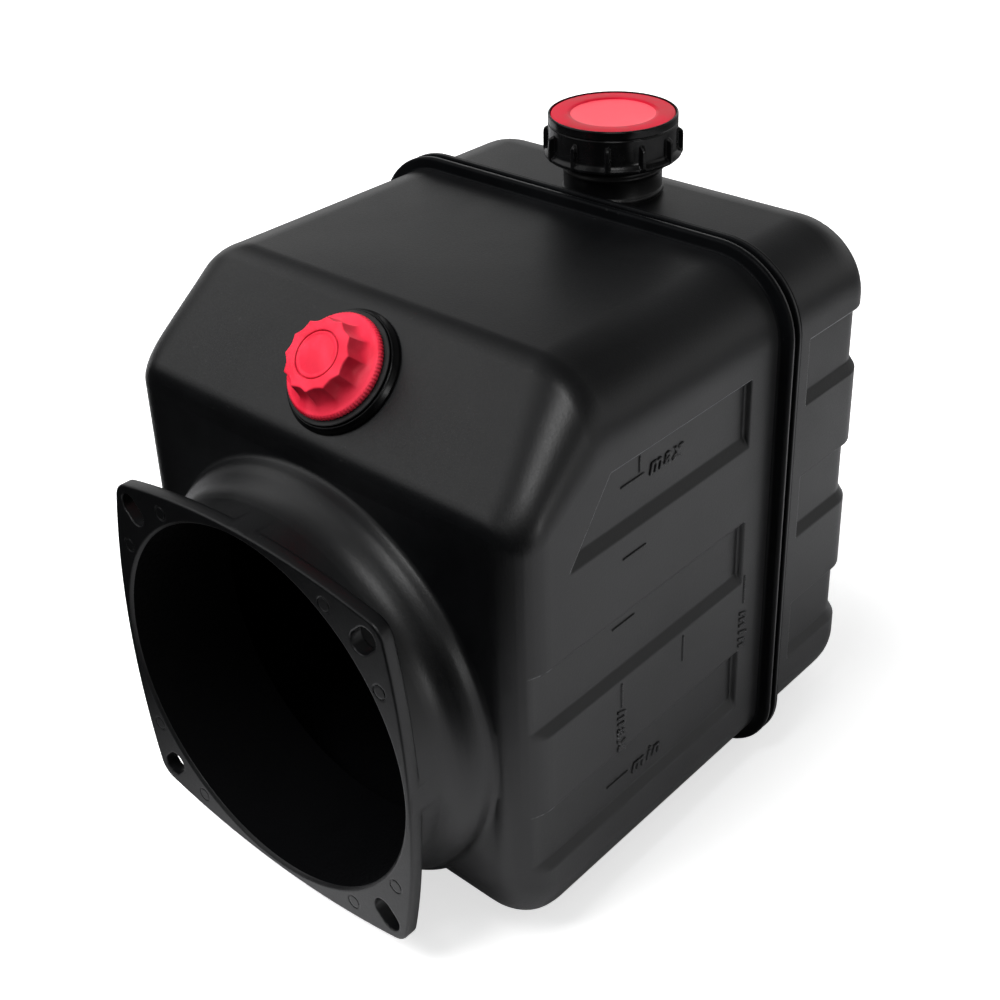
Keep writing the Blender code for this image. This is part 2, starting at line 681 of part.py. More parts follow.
def build_breather(frame, glossy, black, red, rubber, foam):
    def add(name, data, mat):
        return add_object(name, data, mat, frame, BREATHER_PLACE, SHOULDER_TURN)

    add("breather_boss", breather_boss(), glossy)
    seal = plain_ring("breather_gasket", GASKET_RADIUS, PLUG_THREAD_CREST + 0.5, BOSS_TOP + GAP, 4.4)
    add("breather_gasket", seal, rubber)
    head = add("breather_head", breather_head(), red)
    socket = hide_cutter(add("head_socket", plain_disc("head_socket", 11.7, -2.0, 13.4), red))
    boolean(head, socket)
    disc = plain_disc("breather_head_disc", HEAD_DISC_RADIUS, HEAD_TOP - 0.7, HEAD_TOP - 0.1)
    add("breather_head_disc", disc, red)
    add("breather_stem", breather_stem(), black)
    add("breather_filter", plain_disc("breather_filter", 8.8, STEM_BOTTOM + 2.8, 12.6), foam)
    add("breather_splash_guard", splash_guard(), black)


# ---------------------------------------------------------------- the whole tank

def main():
    clear_scene()
    frame = bpy.data.objects.new("tank_frame", None)
    bpy.context.collection.objects.link(frame)
    frame.location = TANK_FRAME * MM
    bpy.context.view_layer.update()

    shell_plastic = material("black_moulded_plastic", (0.022, 0.023, 0.024), 0.48)
    glossy_black = material("glossy_black_plastic", (0.012, 0.012, 0.013), 0.25)
    red_plastic = material("red_plastic", (0.80, 0.03, 0.06), 0.35)
    rubber = material("black_rubber", (0.015, 0.015, 0.015), 0.7)
    foam = material("filter_foam", (0.30, 0.30, 0.28), 0.95)
    gauze = material("steel_gauze", (0.60, 0.60, 0.58), 0.4, 1.0)

    build_front_shell(frame, shell_plastic)
    build_pump_neck(frame, shell_plastic)
    build_rear_shell(frame, shell_plastic)
    add_object("seam_weld_bead", seam_bead(), shell_plastic, frame)
    build_filler(frame, shell_plastic, glossy_black, red_plastic, rubber, foam, gauze)
    build_breather(frame, glossy_black, shell_plastic, red_plastic, rubber, foam)


main()
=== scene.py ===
"""Looks of the moulded plastic oil tank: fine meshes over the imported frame, with procedural materials.

Lengths are in millimetres in the tank frame (x right, y from the front wall to the rear, z up from
the neck's axis) and are turned into metres in the row frame when a mesh is made.
"""

import math

import bmesh
import bpy
from mathutils import Matrix, Vector, noise

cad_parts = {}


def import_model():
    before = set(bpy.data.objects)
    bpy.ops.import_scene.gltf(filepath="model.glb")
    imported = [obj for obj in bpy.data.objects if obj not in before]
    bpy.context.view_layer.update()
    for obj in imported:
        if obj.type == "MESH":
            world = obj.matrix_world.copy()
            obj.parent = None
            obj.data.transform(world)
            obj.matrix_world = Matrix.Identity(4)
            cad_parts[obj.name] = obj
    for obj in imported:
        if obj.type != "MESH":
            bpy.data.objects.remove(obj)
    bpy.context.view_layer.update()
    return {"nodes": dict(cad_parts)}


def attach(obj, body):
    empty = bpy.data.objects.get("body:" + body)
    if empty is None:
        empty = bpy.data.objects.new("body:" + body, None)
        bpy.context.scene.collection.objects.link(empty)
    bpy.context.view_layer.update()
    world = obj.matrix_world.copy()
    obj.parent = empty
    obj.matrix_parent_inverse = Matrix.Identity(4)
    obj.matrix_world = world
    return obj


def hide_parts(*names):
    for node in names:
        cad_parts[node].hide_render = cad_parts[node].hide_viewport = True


MM = 0.001
GAP = 0.3

# Tank body
HALF_WIDTH = 100.0
BODY_TOP = 137.5
BODY_BOTTOM = -81.0
BODY_DEPTH = 217.0
WALL = 4.5
TOP_EDGE_RADIUS = 29.0
SHOULDER_EDGE_RADIUS = 17.0
BOTTOM_EDGE_RADIUS = 22.0
FRONT_SIDE_FILLET = 14.0
FRONT_BOTTOM_FILLET = 22.0
REAR_SIDE_FILLET = 16.0
REAR_TOP_FILLET = 24.0
REAR_BOTTOM_FILLET = 20.0
REAR_SHELL_INSET = 0.8
REAR_WALL_Y = BODY_DEPTH - REAR_SHELL_INSET

# Shoulder: the 45 degree slope between the front wall and the top
SHOULDER = 40.5
SHOULDER_FOOT_RADIUS = 10.0
SHOULDER_HEAD_RADIUS = 14.0

# Welded seam
SEAM_Y = 149.0
SEAM_GAP = 2.4
RIM_HEIGHT = 5.0
RIM_THICKNESS = 2.9
BEAD_HEIGHT = 1.0

# Pump neck and its flange
NECK_LENGTH = 33.0
BORE_RADIUS = 74.0
NECK_RADIUS = 77.5
NECK_COLLAR_RADIUS = 86.3
FLANGE_THICKNESS = 5.5
FLANGE_HALF_WIDTH = 77.4
FLANGE_SIDE_ARC = 305.0
FLANGE_CORNER_RADIUS = 8.0
SLOT_OFFSET = 61.0
SLOT_LENGTH = 13.7
SLOT_WIDTH = 9.2
EJECTOR_MARK_NEAR = 43.2
EJECTOR_MARK_FAR = 66.9
EJECTOR_MARK_RADIUS = 3.0

# Side recesses
RECESS_DEPTH = 2.5
RECESS_PITCH = 61.0
RECESS_TOP = 101.5
RECESS_HEIGHT = 29.0
RECESS_FOOT_RAMP = 5.0
RECESS_REAR_END = 128.0
REAR_RECESS_START = 168.0
RECESSES = 3
RECESS_STEP = 0.9
# The slanted front end of the top recess: its foot, and how far back it runs
SLANT_FOOT_Y = 23.6
SLANT_RUN = 22.0

# Filler neck and its screw cap, heights above the tank's top
FILLER_Y = 174.5
FILLER_HOLE_RADIUS = 19.4
FILLER_BORE_RADIUS = 16.8
FILLER_FOOT_RADIUS = 20.5
FILLER_THREAD_ROOT = 19.9
FILLER_THREAD_CREST = 21.2
FILLER_THREAD_PITCH = 4.0
FILLER_RIM = 22.5
THREAD_CLEARANCE = 0.5
CAP_BOTTOM = 14.5
CAP_TOP = 32.0
CAP_RADIUS = 25.9
CAP_LUG_RADIUS = 28.0
CAP_LUG_TOP = 25.5
CAP_LUGS = 12
INSERT_RADIUS = 24.9
INSERT_DISH_RADIUS = 17.0

# Breather plug, heights above the shoulder
BREATHER_X = 2.2
BREATHER_HOLE_RADIUS = 17.3
BOSS_RADIUS = 23.6
BOSS_TOP_RADIUS = 22.5
BOSS_TOP = 3.2
BOSS_BOTTOM = -9.6
GASKET_RADIUS = 21.6
PLUG_THREAD_CREST = 13.2
PLUG_THREAD_ROOT = 12.3
PLUG_THREAD_PITCH = 2.0
HEAD_LOBES = 12
HEAD_TOP = 16.5
HEAD_FLANGE_RADIUS = 20.1
HEAD_DISC_RADIUS = 8.7
HEAD_SOCKET_RADIUS = 11.7
KNURLS = 90

# Fineness of the meshes
NECK_FACETS = 288
CAP_FACETS = 720
HEAD_FACETS = 540
SMALL_FACETS = 128
CORNER_STEPS = 16
THREAD_ROWS_PER_PITCH = 12

# Places in the row frame
TANK_FRAME = Vector((0.0, -(REAR_WALL_Y - NECK_LENGTH) / 2, RIM_HEIGHT - BODY_BOTTOM))
FILLER_PLACE = Vector((0.0, FILLER_Y, BODY_TOP))
BREATHER_PLACE = Vector((BREATHER_X, SHOULDER / 2, BODY_TOP - SHOULDER / 2))
NECK_TURN = Matrix.Rotation(math.radians(90), 4, "X")
SHOULDER_TURN = Matrix.Rotation(math.radians(45), 4, "X")


# ---------------------------------------------------------------- node helpers

def new_material(name):
    mat = bpy.data.materials.new(name)
    mat.use_nodes = True
    return mat, mat.node_tree, mat.node_tree.nodes["Principled BSDF"]


def coordinates(tree, stretch=(1.0, 1.0, 1.0)):
    mapping = tree.nodes.new("ShaderNodeMapping")
    mapping.inputs["Scale"].default_value = stretch
    source = tree.nodes.new("ShaderNodeTexCoord")
    tree.links.new(source.outputs["Object"], mapping.inputs["Vector"])
    return mapping.outputs["Vector"]


def axes(tree, kind):
    """The x, y and z of one kind of texture coordinate."""
    source = tree.nodes.new("ShaderNodeTexCoord")
    split = tree.nodes.new("ShaderNodeSeparateXYZ")
    tree.links.new(source.outputs[kind], split.inputs[0])
    return tuple(split.outputs)


def noise_field(tree, vector, scale, detail=4.0, roughness=0.55, distortion=0.0):
    node = tree.nodes.new("ShaderNodeTexNoise")
    names = ("Scale", "Detail", "Roughness", "Distortion")
    for name, number in zip(names, (scale, detail, roughness, distortion)):
        node.inputs[name].default_value = number
    tree.links.new(vector, node.inputs["Vector"])
    return node.outputs["Fac"]


def cells(tree, vector, scale, feature="F1"):
    node = tree.nodes.new("ShaderNodeTexVoronoi")
    node.feature = feature
    node.inputs["Scale"].default_value = scale
    tree.links.new(vector, node.inputs["Vector"])
    return node.outputs["Distance"]


def remap(tree, value, low, high, to_low=0.0, to_high=1.0):
    """A smooth change from to_low to to_high as the value goes from low to high."""
    node = tree.nodes.new("ShaderNodeMapRange")
    node.interpolation_type = "SMOOTHSTEP"
    for name, number in (("From Min", low), ("From Max", high), ("To Min", to_low), ("To Max", to_high)):
        node.inputs[name].default_value = number
    tree.links.new(value, node.inputs["Value"])
    return node.outputs["Result"]


def calculate(tree, operation, first, second=0.0):
    node = tree.nodes.new("ShaderNodeMath")
    node.operation = operation
    for socket, value in zip(node.inputs, (first, second)):
        if isinstance(value, (int, float)):
            socket.default_value = value
        else:
            tree.links.new(value, socket)
    return node.outputs[0]


def times(tree, first, second):
    return calculate(tree, "MULTIPLY", first, second)


def larger(tree, first, second):
    return calculate(tree, "MAXIMUM", first, second)


def distance_from(tree, value, middle):
    return calculate(tree, "ABSOLUTE", calculate(tree, "SUBTRACT", value, middle))


def blend_colours(tree, factor, first, second):
    node = tree.nodes.new("ShaderNodeMix")
    node.data_type = "RGBA"
    tree.links.new(factor, node.inputs["Factor"])
    for socket, value in ((node.inputs[6], first), (node.inputs[7], second)):
        if isinstance(value, tuple):
            socket.default_value = (*value, 1.0)
        else:
            tree.links.new(value, socket)
    return node.outputs[2]


def soft_edges(tree, radius):
    """Normals rounded over sharp edges, as a mould leaves them."""
    node = tree.nodes.new("ShaderNodeBevel")
    node.samples = 6
    node.inputs["Radius"].default_value = radius
    return node.outputs["Normal"]


def edge_mask(tree, rounded):
    """One on rounded edges and nought on flat faces."""
    geometry = tree.nodes.new("ShaderNodeNewGeometry")
    dot = tree.nodes.new("ShaderNodeVectorMath")
    dot.operation = "DOT_PRODUCT"
    tree.links.new(rounded, dot.inputs[0])
    tree.links.new(geometry.outputs["Normal"], dot.inputs[1])
    return remap(tree, dot.outputs["Value"], 0.99, 0.86)


def bump(tree, height, distance, strength, below=None):
    node = tree.nodes.new("ShaderNodeBump")
    node.inputs["Distance"].default_value = distance
    node.inputs["Strength"].default_value = strength
    tree.links.new(height, node.inputs["Height"])
    if below is not None:
        tree.links.new(below, node.inputs["Normal"])
    return node.outputs["Normal"]


def connect(tree, shader, colour, roughness, normal):
    for name, output in (("Base Color", colour), ("Roughness", roughness), ("Normal", normal)):
        tree.links.new(output, shader.inputs[name])


# ---------------------------------------------------------------- materials

def painted_recess_edge_glint(tree):
    """Painted highlight: one on the outer edges of the side recesses, coloured pale to stand in for their
    glint.
    """
    _, facing_rear, facing_up = axes(tree, "Normal")
    x, y, z = axes(tree, "Object")
    lowest = RECESS_TOP - (RECESSES - 1) * RECESS_PITCH - RECESS_HEIGHT
    outside = remap(tree, calculate(tree, "ABSOLUTE", x), (HALF_WIDTH - 2.6) * MM, (HALF_WIDTH - 1.8) * MM)
    above = remap(tree, z, (lowest - 4.0) * MM, (lowest - 2.0) * MM)
    below = remap(tree, z, (RECESS_TOP + 0.6) * MM, (RECESS_TOP + 1.2) * MM, 1.0, 0.0)
    nearby = remap(tree, distance_from(tree, y, REAR_RECESS_START * MM), 0.002, 0.004, 1.0, 0.0)
    downward = remap(tree, facing_up, -0.04, -0.20)
    rearward = times(tree, nearby, remap(tree, facing_rear, 0.04, 0.20))
    zone = times(tree, outside, times(tree, above, below))
    return times(tree, zone, larger(tree, downward, rearward))


def painted_seam_shade_and_glint(tree):
    """Shine of the moulded black, turned low over both weld rims as painted shade and raised along their
    crests as a painted highlight line.
    """
    off = distance_from(tree, axes(tree, "Object")[1], SEAM_Y * MM)
    reach = (SEAM_GAP / 2 + RIM_THICKNESS) * MM
    # Painted shade: the shine drops low over both rims.
    painted_rim_shade = remap(tree, off, reach + 0.0006, reach + 0.0014, 0.06, 0.5)
    # Painted highlight: a thin line of higher shine along each rim's crest.
    crest = remap(tree, distance_from(tree, off, 0.0021), 0.0002, 0.0006, 0.8, 0.0)
    return larger(tree, painted_rim_shade, crest)


def moulded_black():
    """Matt black polypropylene: fine grain, flow marks, faint haze, edges lightened partly as rubbed wear and
    partly as a painted glint, and recess edges with a painted highlight.
    """
    mat, tree, shader = new_material("moulded_black_plastic")
    place = coordinates(tree)
    along = coordinates(tree, (1.0, 0.35, 1.0))
    grain = noise_field(tree, place, 1500.0, 3.0, 0.6)
    flow = noise_field(tree, along, 26.0, 6.0, 0.6, 1.2)
    haze = noise_field(tree, place, 9.0, 5.0, 0.6, 0.4)
    specks = remap(tree, noise_field(tree, place, 420.0, 2.0, 0.5), 0.70, 0.78)

    rounded = soft_edges(tree, 0.0011)
    edges = edge_mask(tree, rounded)
    tones = ((0.0010, 0.0011, 0.0014), (0.0022, 0.0024, 0.0028))
    tone = blend_colours(tree, remap(tree, flow, 0.3, 0.7), *tones)
    hazed = blend_colours(tree, remap(tree, haze, 0.42, 0.72, 0.0, 0.6), tone, (0.0040, 0.0043, 0.0048))
    dusted = blend_colours(tree, times(tree, specks, 0.35), hazed, (0.018, 0.018, 0.018))
    # Painted highlight: edges lightened partly as wear and partly as a painted glint, and the recess edges
    # painted pale as a highlight.
    edge_wear_and_painted_glint = larger(tree, times(tree, edges, 0.04), painted_recess_edge_glint(tree))
    rubbed = blend_colours(tree, edge_wear_and_painted_glint, dusted, (0.230, 0.235, 0.245))

    dull = remap(tree, haze, 0.3, 0.75, 0.33, 0.42)
    mottled = calculate(tree, "ADD", dull, remap(tree, grain, 0.3, 0.7, -0.03, 0.04))
    roughness = calculate(tree, "SUBTRACT", mottled, times(tree, edges, 0.08))
    sunk = bump(tree, noise_field(tree, place, 34.0, 2.0, 0.4), 0.00035, 0.16, rounded)
    pitted = bump(tree, cells(tree, place, 900.0), 0.00012, 0.10, sunk)
    connect(tree, shader, rubbed, roughness, bump(tree, grain, 0.00010, 0.28, pitted))
    # Painted shade over the weld rims and a painted highlight along their crests, set through the shine.
    tree.links.new(painted_seam_shade_and_glint(tree), shader.inputs["Specular IOR Level"])
    return mat


def core_black():
    """Unpolished inside of the shells: rough, dark and almost without shine."""
    mat, tree, shader = new_material("core_black_plastic")
    place = coordinates(tree)
    grain = noise_field(tree, place, 700.0, 4.0, 0.6)
    clouds = noise_field(tree, place, 20.0, 5.0, 0.6, 0.6)
    colour = blend_colours(tree, clouds, (0.0006, 0.0006, 0.0008), (0.0020, 0.0021, 0.0024))
    connect(tree, shader, colour, remap(tree, grain, 0.3, 0.7, 0.62, 0.80), bump(tree, grain, 0.0002, 0.3))
    shader.inputs["Specular IOR Level"].default_value = 0.08
    return mat


def gloss_black():
    """Smooth black plastic of the cap ring and the plug's boss."""
    mat, tree, shader = new_material("gloss_black_plastic")
    place = coordinates(tree)
    rounded = soft_edges(tree, 0.0006)
    edges = edge_mask(tree, rounded)
    smears = noise_field(tree, place, 70.0, 6.0, 0.6, 1.5)
    tones = ((0.0015, 0.0015, 0.0017), (0.0032, 0.0033, 0.0036))
    tone = blend_colours(tree, remap(tree, smears, 0.4, 0.7), *tones)
    colour = blend_colours(tree, times(tree, edges, 0.4), tone, (0.008, 0.008, 0.009))
    fine = noise_field(tree, place, 1100.0, 2.0, 0.5)
    ripple = bump(tree, noise_field(tree, place, 60.0, 2.0, 0.4), 0.0002, 0.12, rounded)
    roughness = remap(tree, smears, 0.35, 0.7, 0.17, 0.30)
    connect(tree, shader, colour, roughness, bump(tree, fine, 0.00006, 0.10, ripple))
    shader.inputs["Specular IOR Level"].default_value = 0.28
    return mat


# Darker tone, lighter tone and rubbed edge of each red
BRIGHT_RED = ((0.700, 0.016, 0.044), (0.840, 0.036, 0.074), (0.90, 0.08, 0.12))
DEEP_RED = ((0.460, 0.002, 0.016), (0.580, 0.006, 0.030), (0.74, 0.03, 0.07))
SATIN_RED = ((0.820, 0.070, 0.100), (0.900, 0.100, 0.130), (0.95, 0.16, 0.19))


def red_plastic(name, shades):
    """Red plastic with a slight translucent depth, faint scuffs and a fine grain."""
    mat, tree, shader = new_material(name)
    place = coordinates(tree)
    rounded = soft_edges(tree, 0.0006)
    edges = edge_mask(tree, rounded)
    clouds = noise_field(tree, place, 85.0, 5.0, 0.55, 0.8)
    darker, lighter, rubbed = shades
    tone = blend_colours(tree, remap(tree, clouds, 0.35, 0.68), darker, lighter)
    colour = blend_colours(tree, times(tree, edges, 0.35), tone, rubbed)
    grain = noise_field(tree, place, 1700.0, 2.0, 0.5)
    wavy = bump(tree, noise_field(tree, place, 90.0, 2.0, 0.4), 0.0002, 0.10, rounded)
    roughness = remap(tree, clouds, 0.3, 0.7, 0.30, 0.44)
    connect(tree, shader, colour, roughness, bump(tree, grain, 0.00008, 0.18, wavy))
    shader.inputs["Specular IOR Level"].default_value = 0.25
    shader.inputs["Subsurface Weight"].default_value = 0.06
    shader.inputs["Subsurface Radius"].default_value = (1.0, 0.25, 0.15)
    shader.inputs["Subsurface Scale"].default_value = 0.0015
    return mat


def seal_rubber():
    """Matt black rubber with a faint grey bloom."""
    mat, tree, shader = new_material("seal_rubber")
    place = coordinates(tree)
    bloom = noise_field(tree, place, 130.0, 6.0, 0.65, 0.6)
    colour = blend_colours(tree, remap(tree, bloom, 0.4, 0.75), (0.010, 0.010, 0.010), (0.026, 0.026, 0.027))
    grain = noise_field(tree, place, 900.0, 4.0, 0.6)
    normal = bump(tree, grain, 0.00012, 0.3, soft_edges(tree, 0.0004))
    connect(tree, shader, colour, remap(tree, bloom, 0.3, 0.7, 0.55, 0.75), normal)
    return mat


def filter_foam():
    """Open-cell foam: dark cells with pale walls."""
    mat, tree, shader = new_material("open_cell_foam")
    walls = cells(tree, coordinates(tree), 900.0, "DISTANCE_TO_EDGE")
    colour = blend_colours(tree, remap(tree, walls, 0.02, 0.16), (0.42, 0.41, 0.37), (0.07, 0.07, 0.065))
    connect(tree, shader, colour, remap(tree, walls, 0.0, 0.2, 0.8, 0.98), bump(tree, walls, -0.0008, 0.8))
    return mat


def woven_gauze():
    """Steel gauze: two sets of wires as raised waves, with holes between them."""
    mat, tree, shader = new_material("woven_steel_gauze")
    x, y, z = axes(tree, "Object")
    turn = calculate(tree, "ARCTAN2", x, calculate(tree, "SUBTRACT", y, (FILLER_Y + TANK_FRAME.y) * MM))
    upright = calculate(tree, "SINE", times(tree, turn, 110.0))
    level = calculate(tree, "SINE", times(tree, z, 7400.0))
    wires = larger(tree, upright, level)
    wear = noise_field(tree, coordinates(tree), 300.0, 4.0, 0.6)
    colour = blend_colours(tree, wear, (0.42, 0.41, 0.39), (0.62, 0.61, 0.58))
    connect(tree, shader, colour, remap(tree, wear, 0.3, 0.7, 0.25, 0.45), bump(tree, wires, 0.0003, 0.7))
    tree.links.new(remap(tree, wires, 0.15, 0.35), shader.inputs["Alpha"])
    shader.inputs["Metallic"].default_value = 1.0
    return mat


def floor_white():
    """Plain white floor, a little bright in itself so that shadows stay pale."""
    mat, tree, shader = new_material("studio_floor")
    mottle = noise_field(tree, coordinates(tree), 3.0, 3.0, 0.5)
    colour = blend_colours(tree, mottle, (0.90, 0.90, 0.90), (0.93, 0.93, 0.93))
    tree.links.new(colour, shader.inputs["Base Color"])
    shader.inputs["Roughness"].default_value = 0.6
    shader.inputs["Emission Color"].default_value = (1.0, 1.0, 1.0, 1.0)
    shader.inputs["Emission Strength"].default_value = 0.65
    return mat


def reflection_card_with_painted_shade():
    """Hidden card seen only in reflections and bounce light: mid grey beside the part, and painted shade,
    nearly black, far before and far behind it and to its front left.
    """
    mat, tree, shader = new_material("studio_card")
    x, y, _ = axes(tree, "Object")
    before = remap(tree, y, -0.17, -0.26)
    front_left = times(tree, remap(tree, x, 0.02, -0.16), remap(tree, y, -0.02, -0.12))
    behind = remap(tree, y, 0.35, 0.8, 0.0, 0.8)
    cloth = noise_field(tree, coordinates(tree), 60.0, 2.0, 0.5)
    pale = blend_colours(tree, cloth, (0.68, 0.68, 0.69), (0.75, 0.75, 0.77))
    # Painted shade: the dark zones of the card darken what the part reflects.
    shaded = larger(tree, larger(tree, behind, before), front_left)
    tree.links.new(blend_colours(tree, shaded, pale, (0.010, 0.010, 0.010)), shader.inputs["Base Color"])
    shader.inputs["Roughness"].default_value = 0.9
    shader.inputs["Specular IOR Level"].default_value = 0.1
    return mat


# ---------------------------------------------------------------- mesh makers

def shade(data, angle=32):
    for polygon in data.polygons:
        polygon.use_smooth = True
    data.set_sharp_from_angle(angle=math.radians(angle))


def mesh_from(name, points, faces):
    """A mesh in metres from points in millimetres, with its faces turned outwards."""
    data = bpy.data.meshes.new(name)
    data.from_pydata([Vector(p) * MM for p in points], [], faces)
    bm = bmesh.new()
    bm.from_mesh(data)
    bmesh.ops.recalc_face_normals(bm, faces=bm.faces)
    bm.to_mesh(data)
    bm.free()
    return data


def skin(name, loops, ends, cap=None):
    """A mesh over loops of equally many points; ends are capped or joined."""
    count = len(loops[0])
    rows = len(loops)
    points = [p for loop in loops for p in loop]
    faces = []
    for row in range(rows if ends == "join" else rows - 1):
        low = row * count
        high = ((row + 1) % rows) * count
        for i in range(count):
            j = (i + 1) % count
            faces.append((low + i, high + i, high + j, low + j))
    if ends == "cap":
        first = cap(count) if cap else [tuple(range(count))]
        last = (rows - 1) * count
        faces += first
        faces += [tuple(last + i for i in reversed(face)) for face in first]
    return mesh_from(name, points, faces)


def ring_loop(radius, height, facets):
    loop = []
    for i in range(facets):
        angle = 2 * math.pi * i / facets
        r = radius(angle) if callable(radius) else radius
        loop.append((r * math.cos(angle), r * math.sin(angle), height(angle) if callable(height) else height))
    return loop


def turned(name, profile, facets, ends="cap"):
    """A turned mesh from (radius, height) pairs; either may be a function of the angle."""
    return skin(name, [ring_loop(r, h, facets) for r, h in profile], ends)


def arc(cx, cy, radius, start, end, steps):
    """Points of an arc, angles in degrees."""
    points = []
    for i in range(steps + 1):
        angle = math.radians(start + (end - start) * i / steps)
        points.append((cx + radius * math.cos(angle), cy + radius * math.sin(angle)))
    return points


def spread(low, high, coarse, marks=(), fine=0.3, reach=1.5):
    """Positions from low to high, coarse between the marks and fine within reach of each."""
    found = []
    at = low
    while at < high:
        found.append(at)
        near = any(abs(at - mark) < reach for mark in marks)
        step = fine if near else coarse
        ahead = [mark - reach - at for mark in marks if mark - reach - at > 1e-6]
        if not near and ahead and min(ahead) < step:
            step = min(ahead) + 1e-6
        at += step
    if high - found[-1] < fine / 2:
        found.pop()
    return found + [high]


def thread_profile(root, crest, pitch, low, high, groove=False):
    """Rows of a right-hand thread of rounded form that fades out at its ends."""
    rows = round((high - low) / pitch * THREAD_ROWS_PER_PITCH)
    profile = []
    for row in range(rows + 1):
        height = low + (high - low) * row / rows
        fade = min(1.0, (height - low) / (0.5 * pitch), (high - height) / (0.5 * pitch))

        def radius(angle, height=height, fade=fade):
            swing = math.cos(2 * math.pi * height / pitch - angle)
            if groove:
                return crest - (crest - root) * (0.5 + 0.5 * swing) * fade
            return root + (crest - root) * (0.5 - 0.5 * swing) * fade

        profile.append((radius, height))
    return profile


def object_from(data, mat, place=None, turn=None):
    """An object in the row frame: place is in the tank frame, in millimetres."""
    shade(data)
    data.materials.append(mat)
    thing = bpy.data.objects.new(data.name, data)
    bpy.context.scene.collection.objects.link(thing)
    matrix = Matrix.Translation((TANK_FRAME + (place or Vector())) * MM)
    thing.matrix_world = matrix @ turn if turn else matrix
    return thing


def piece(data, mat, body, nodes=(), place=None, turn=None):
    """A finished piece that rides on a body and may stand for CAD nodes."""
    thing = object_from(data, mat, place, turn)
    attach(thing, body)
    if nodes:
        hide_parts(*nodes)
    return thing


def combine(target, tool, operation):
    """Applies one boolean and removes its tool."""
    mod = target.modifiers.new(operation.lower(), "BOOLEAN")
    mod.operation = operation
    mod.object = tool
    mod.solver = "EXACT"
    bpy.context.view_layer.update()
    graph = bpy.context.evaluated_depsgraph_get()
    made = bpy.data.meshes.new_from_object(target.evaluated_get(graph))
    target.modifiers.clear()
    name = target.data.name
    target.data = made
    made.name = name
    bpy.data.objects.remove(tool, do_unlink=True)
    shade(made)
    return target


def joined(name, parts):
    """One mesh made of several (points, faces) meshes that don't touch."""
    data = bpy.data.meshes.new(name)
    points = []
    faces = []
    for mesh, matrix in parts:
        start = len(points)
        points += [matrix @ v.co for v in mesh.vertices]
        faces += [tuple(start + i for i in polygon.vertices) for polygon in mesh.polygons]
    data.from_pydata(points, [], faces)
    data.update()
    return data


# ---------------------------------------------------------------- tank body sections

def fillet_inset(distance, radius):
    if distance >= radius:
        return 0.0
    return radius - math.sqrt(radius ** 2 - (radius - distance) ** 2)


def fillet_rows(radius, steps=9):
    """Distances from a wall at even turns of the fillet that rounds off its edge."""
    return [radius * (1 - math.sin(math.radians(90 * i / steps))) for i in range(steps, 0, -1)]


def shoulder_height(y):
    """Height of the front shell's upper outline: front wall, slope and top, with soft bends."""
    foot = SHOULDER_FOOT_RADIUS
    head = SHOULDER_HEAD_RADIUS
    foot_tangent = foot * math.tan(math.radians(22.5))
    head_tangent = head * math.tan(math.radians(22.5))
    slope_base = BODY_TOP - SHOULDER
    if y < foot * (1 - math.sqrt(0.5)):
        return slope_base - foot_tangent + math.sqrt(foot ** 2 - (foot - y) ** 2)
    if y < SHOULDER - head_tangent * math.sqrt(0.5):
        return slope_base + y
    if y < SHOULDER + head_tangent:
        return BODY_TOP - head + math.sqrt(head ** 2 - (SHOULDER + head_tangent - y) ** 2)
    return BODY_TOP


def recess_rows():
    """The top and bottom of each side recess, from the highest down."""
    tops = [RECESS_TOP - i * RECESS_PITCH for i in range(RECESSES)]
    return [(top, top - RECESS_HEIGHT) for top in tops]


def side_heights():
    """Heights of the points up a side wall, close together where a recess has an edge."""
    low = BODY_BOTTOM + BOTTOM_EDGE_RADIUS
    high = BODY_TOP - TOP_EDGE_RADIUS
    marks = [RECESS_TOP - i for i in range(1, int(RECESS_HEIGHT))]
    for top, bottom in recess_rows():
        marks += [top - RECESS_STEP / 2, bottom, bottom + RECESS_FOOT_RAMP]
    return spread(low, high, 1.6, marks, 0.22, 0.8)


SIDE_HEIGHTS = side_heights()
STEADY_LOW = -50.5
STEADY_HIGH = RECESS_TOP + 1.0


def outline(half_width, bottom, top, top_radius, bottom_radius):
    """Rounded section of the body, as (x, z) points, starting under the right side."""
    low = bottom + bottom_radius
    high = top - top_radius
    steady = min(STEADY_HIGH, high - 1.5)
    right = arc(half_width - bottom_radius, low, bottom_radius, -90, 0, CORNER_STEPS)
    for z in SIDE_HEIGHTS[1:-1]:
        if z < STEADY_LOW:
            z = STEADY_LOW - (STEADY_LOW - z) * (STEADY_LOW - low) / (STEADY_LOW - SIDE_HEIGHTS[0])
        elif z > steady:
            z = steady + (z - steady) * (high - steady) / (SIDE_HEIGHTS[-1] - steady)
        right.append((half_width, z))
    right += arc(half_width - top_radius, high, top_radius, 0, 90, CORNER_STEPS)
    return right + [(-x, z) for x, z in reversed(right)]


def ladder(count):
    """Faces that close an outline with level strips from side to side."""
    return [(i + 1, i, count - 1 - i, count - 2 - i) for i in range(count // 2 - 1)]


def soft_step(value):
    t = max(0.0, min(1.0, value))
    return t * t * (3 - 2 * t)


def soft_ramp(value, rounding=0.14):
    """A straight ramp from 0 to 1 with rounded ends."""
    t = max(0.0, min(1.0, value))
    if t < rounding:
        return t * t / (2 * rounding * (1 - rounding))
    if t > 1 - rounding:
        return 1 - (1 - t) ** 2 / (2 * rounding * (1 - rounding))
    return (t - rounding / 2) / (1 - rounding)


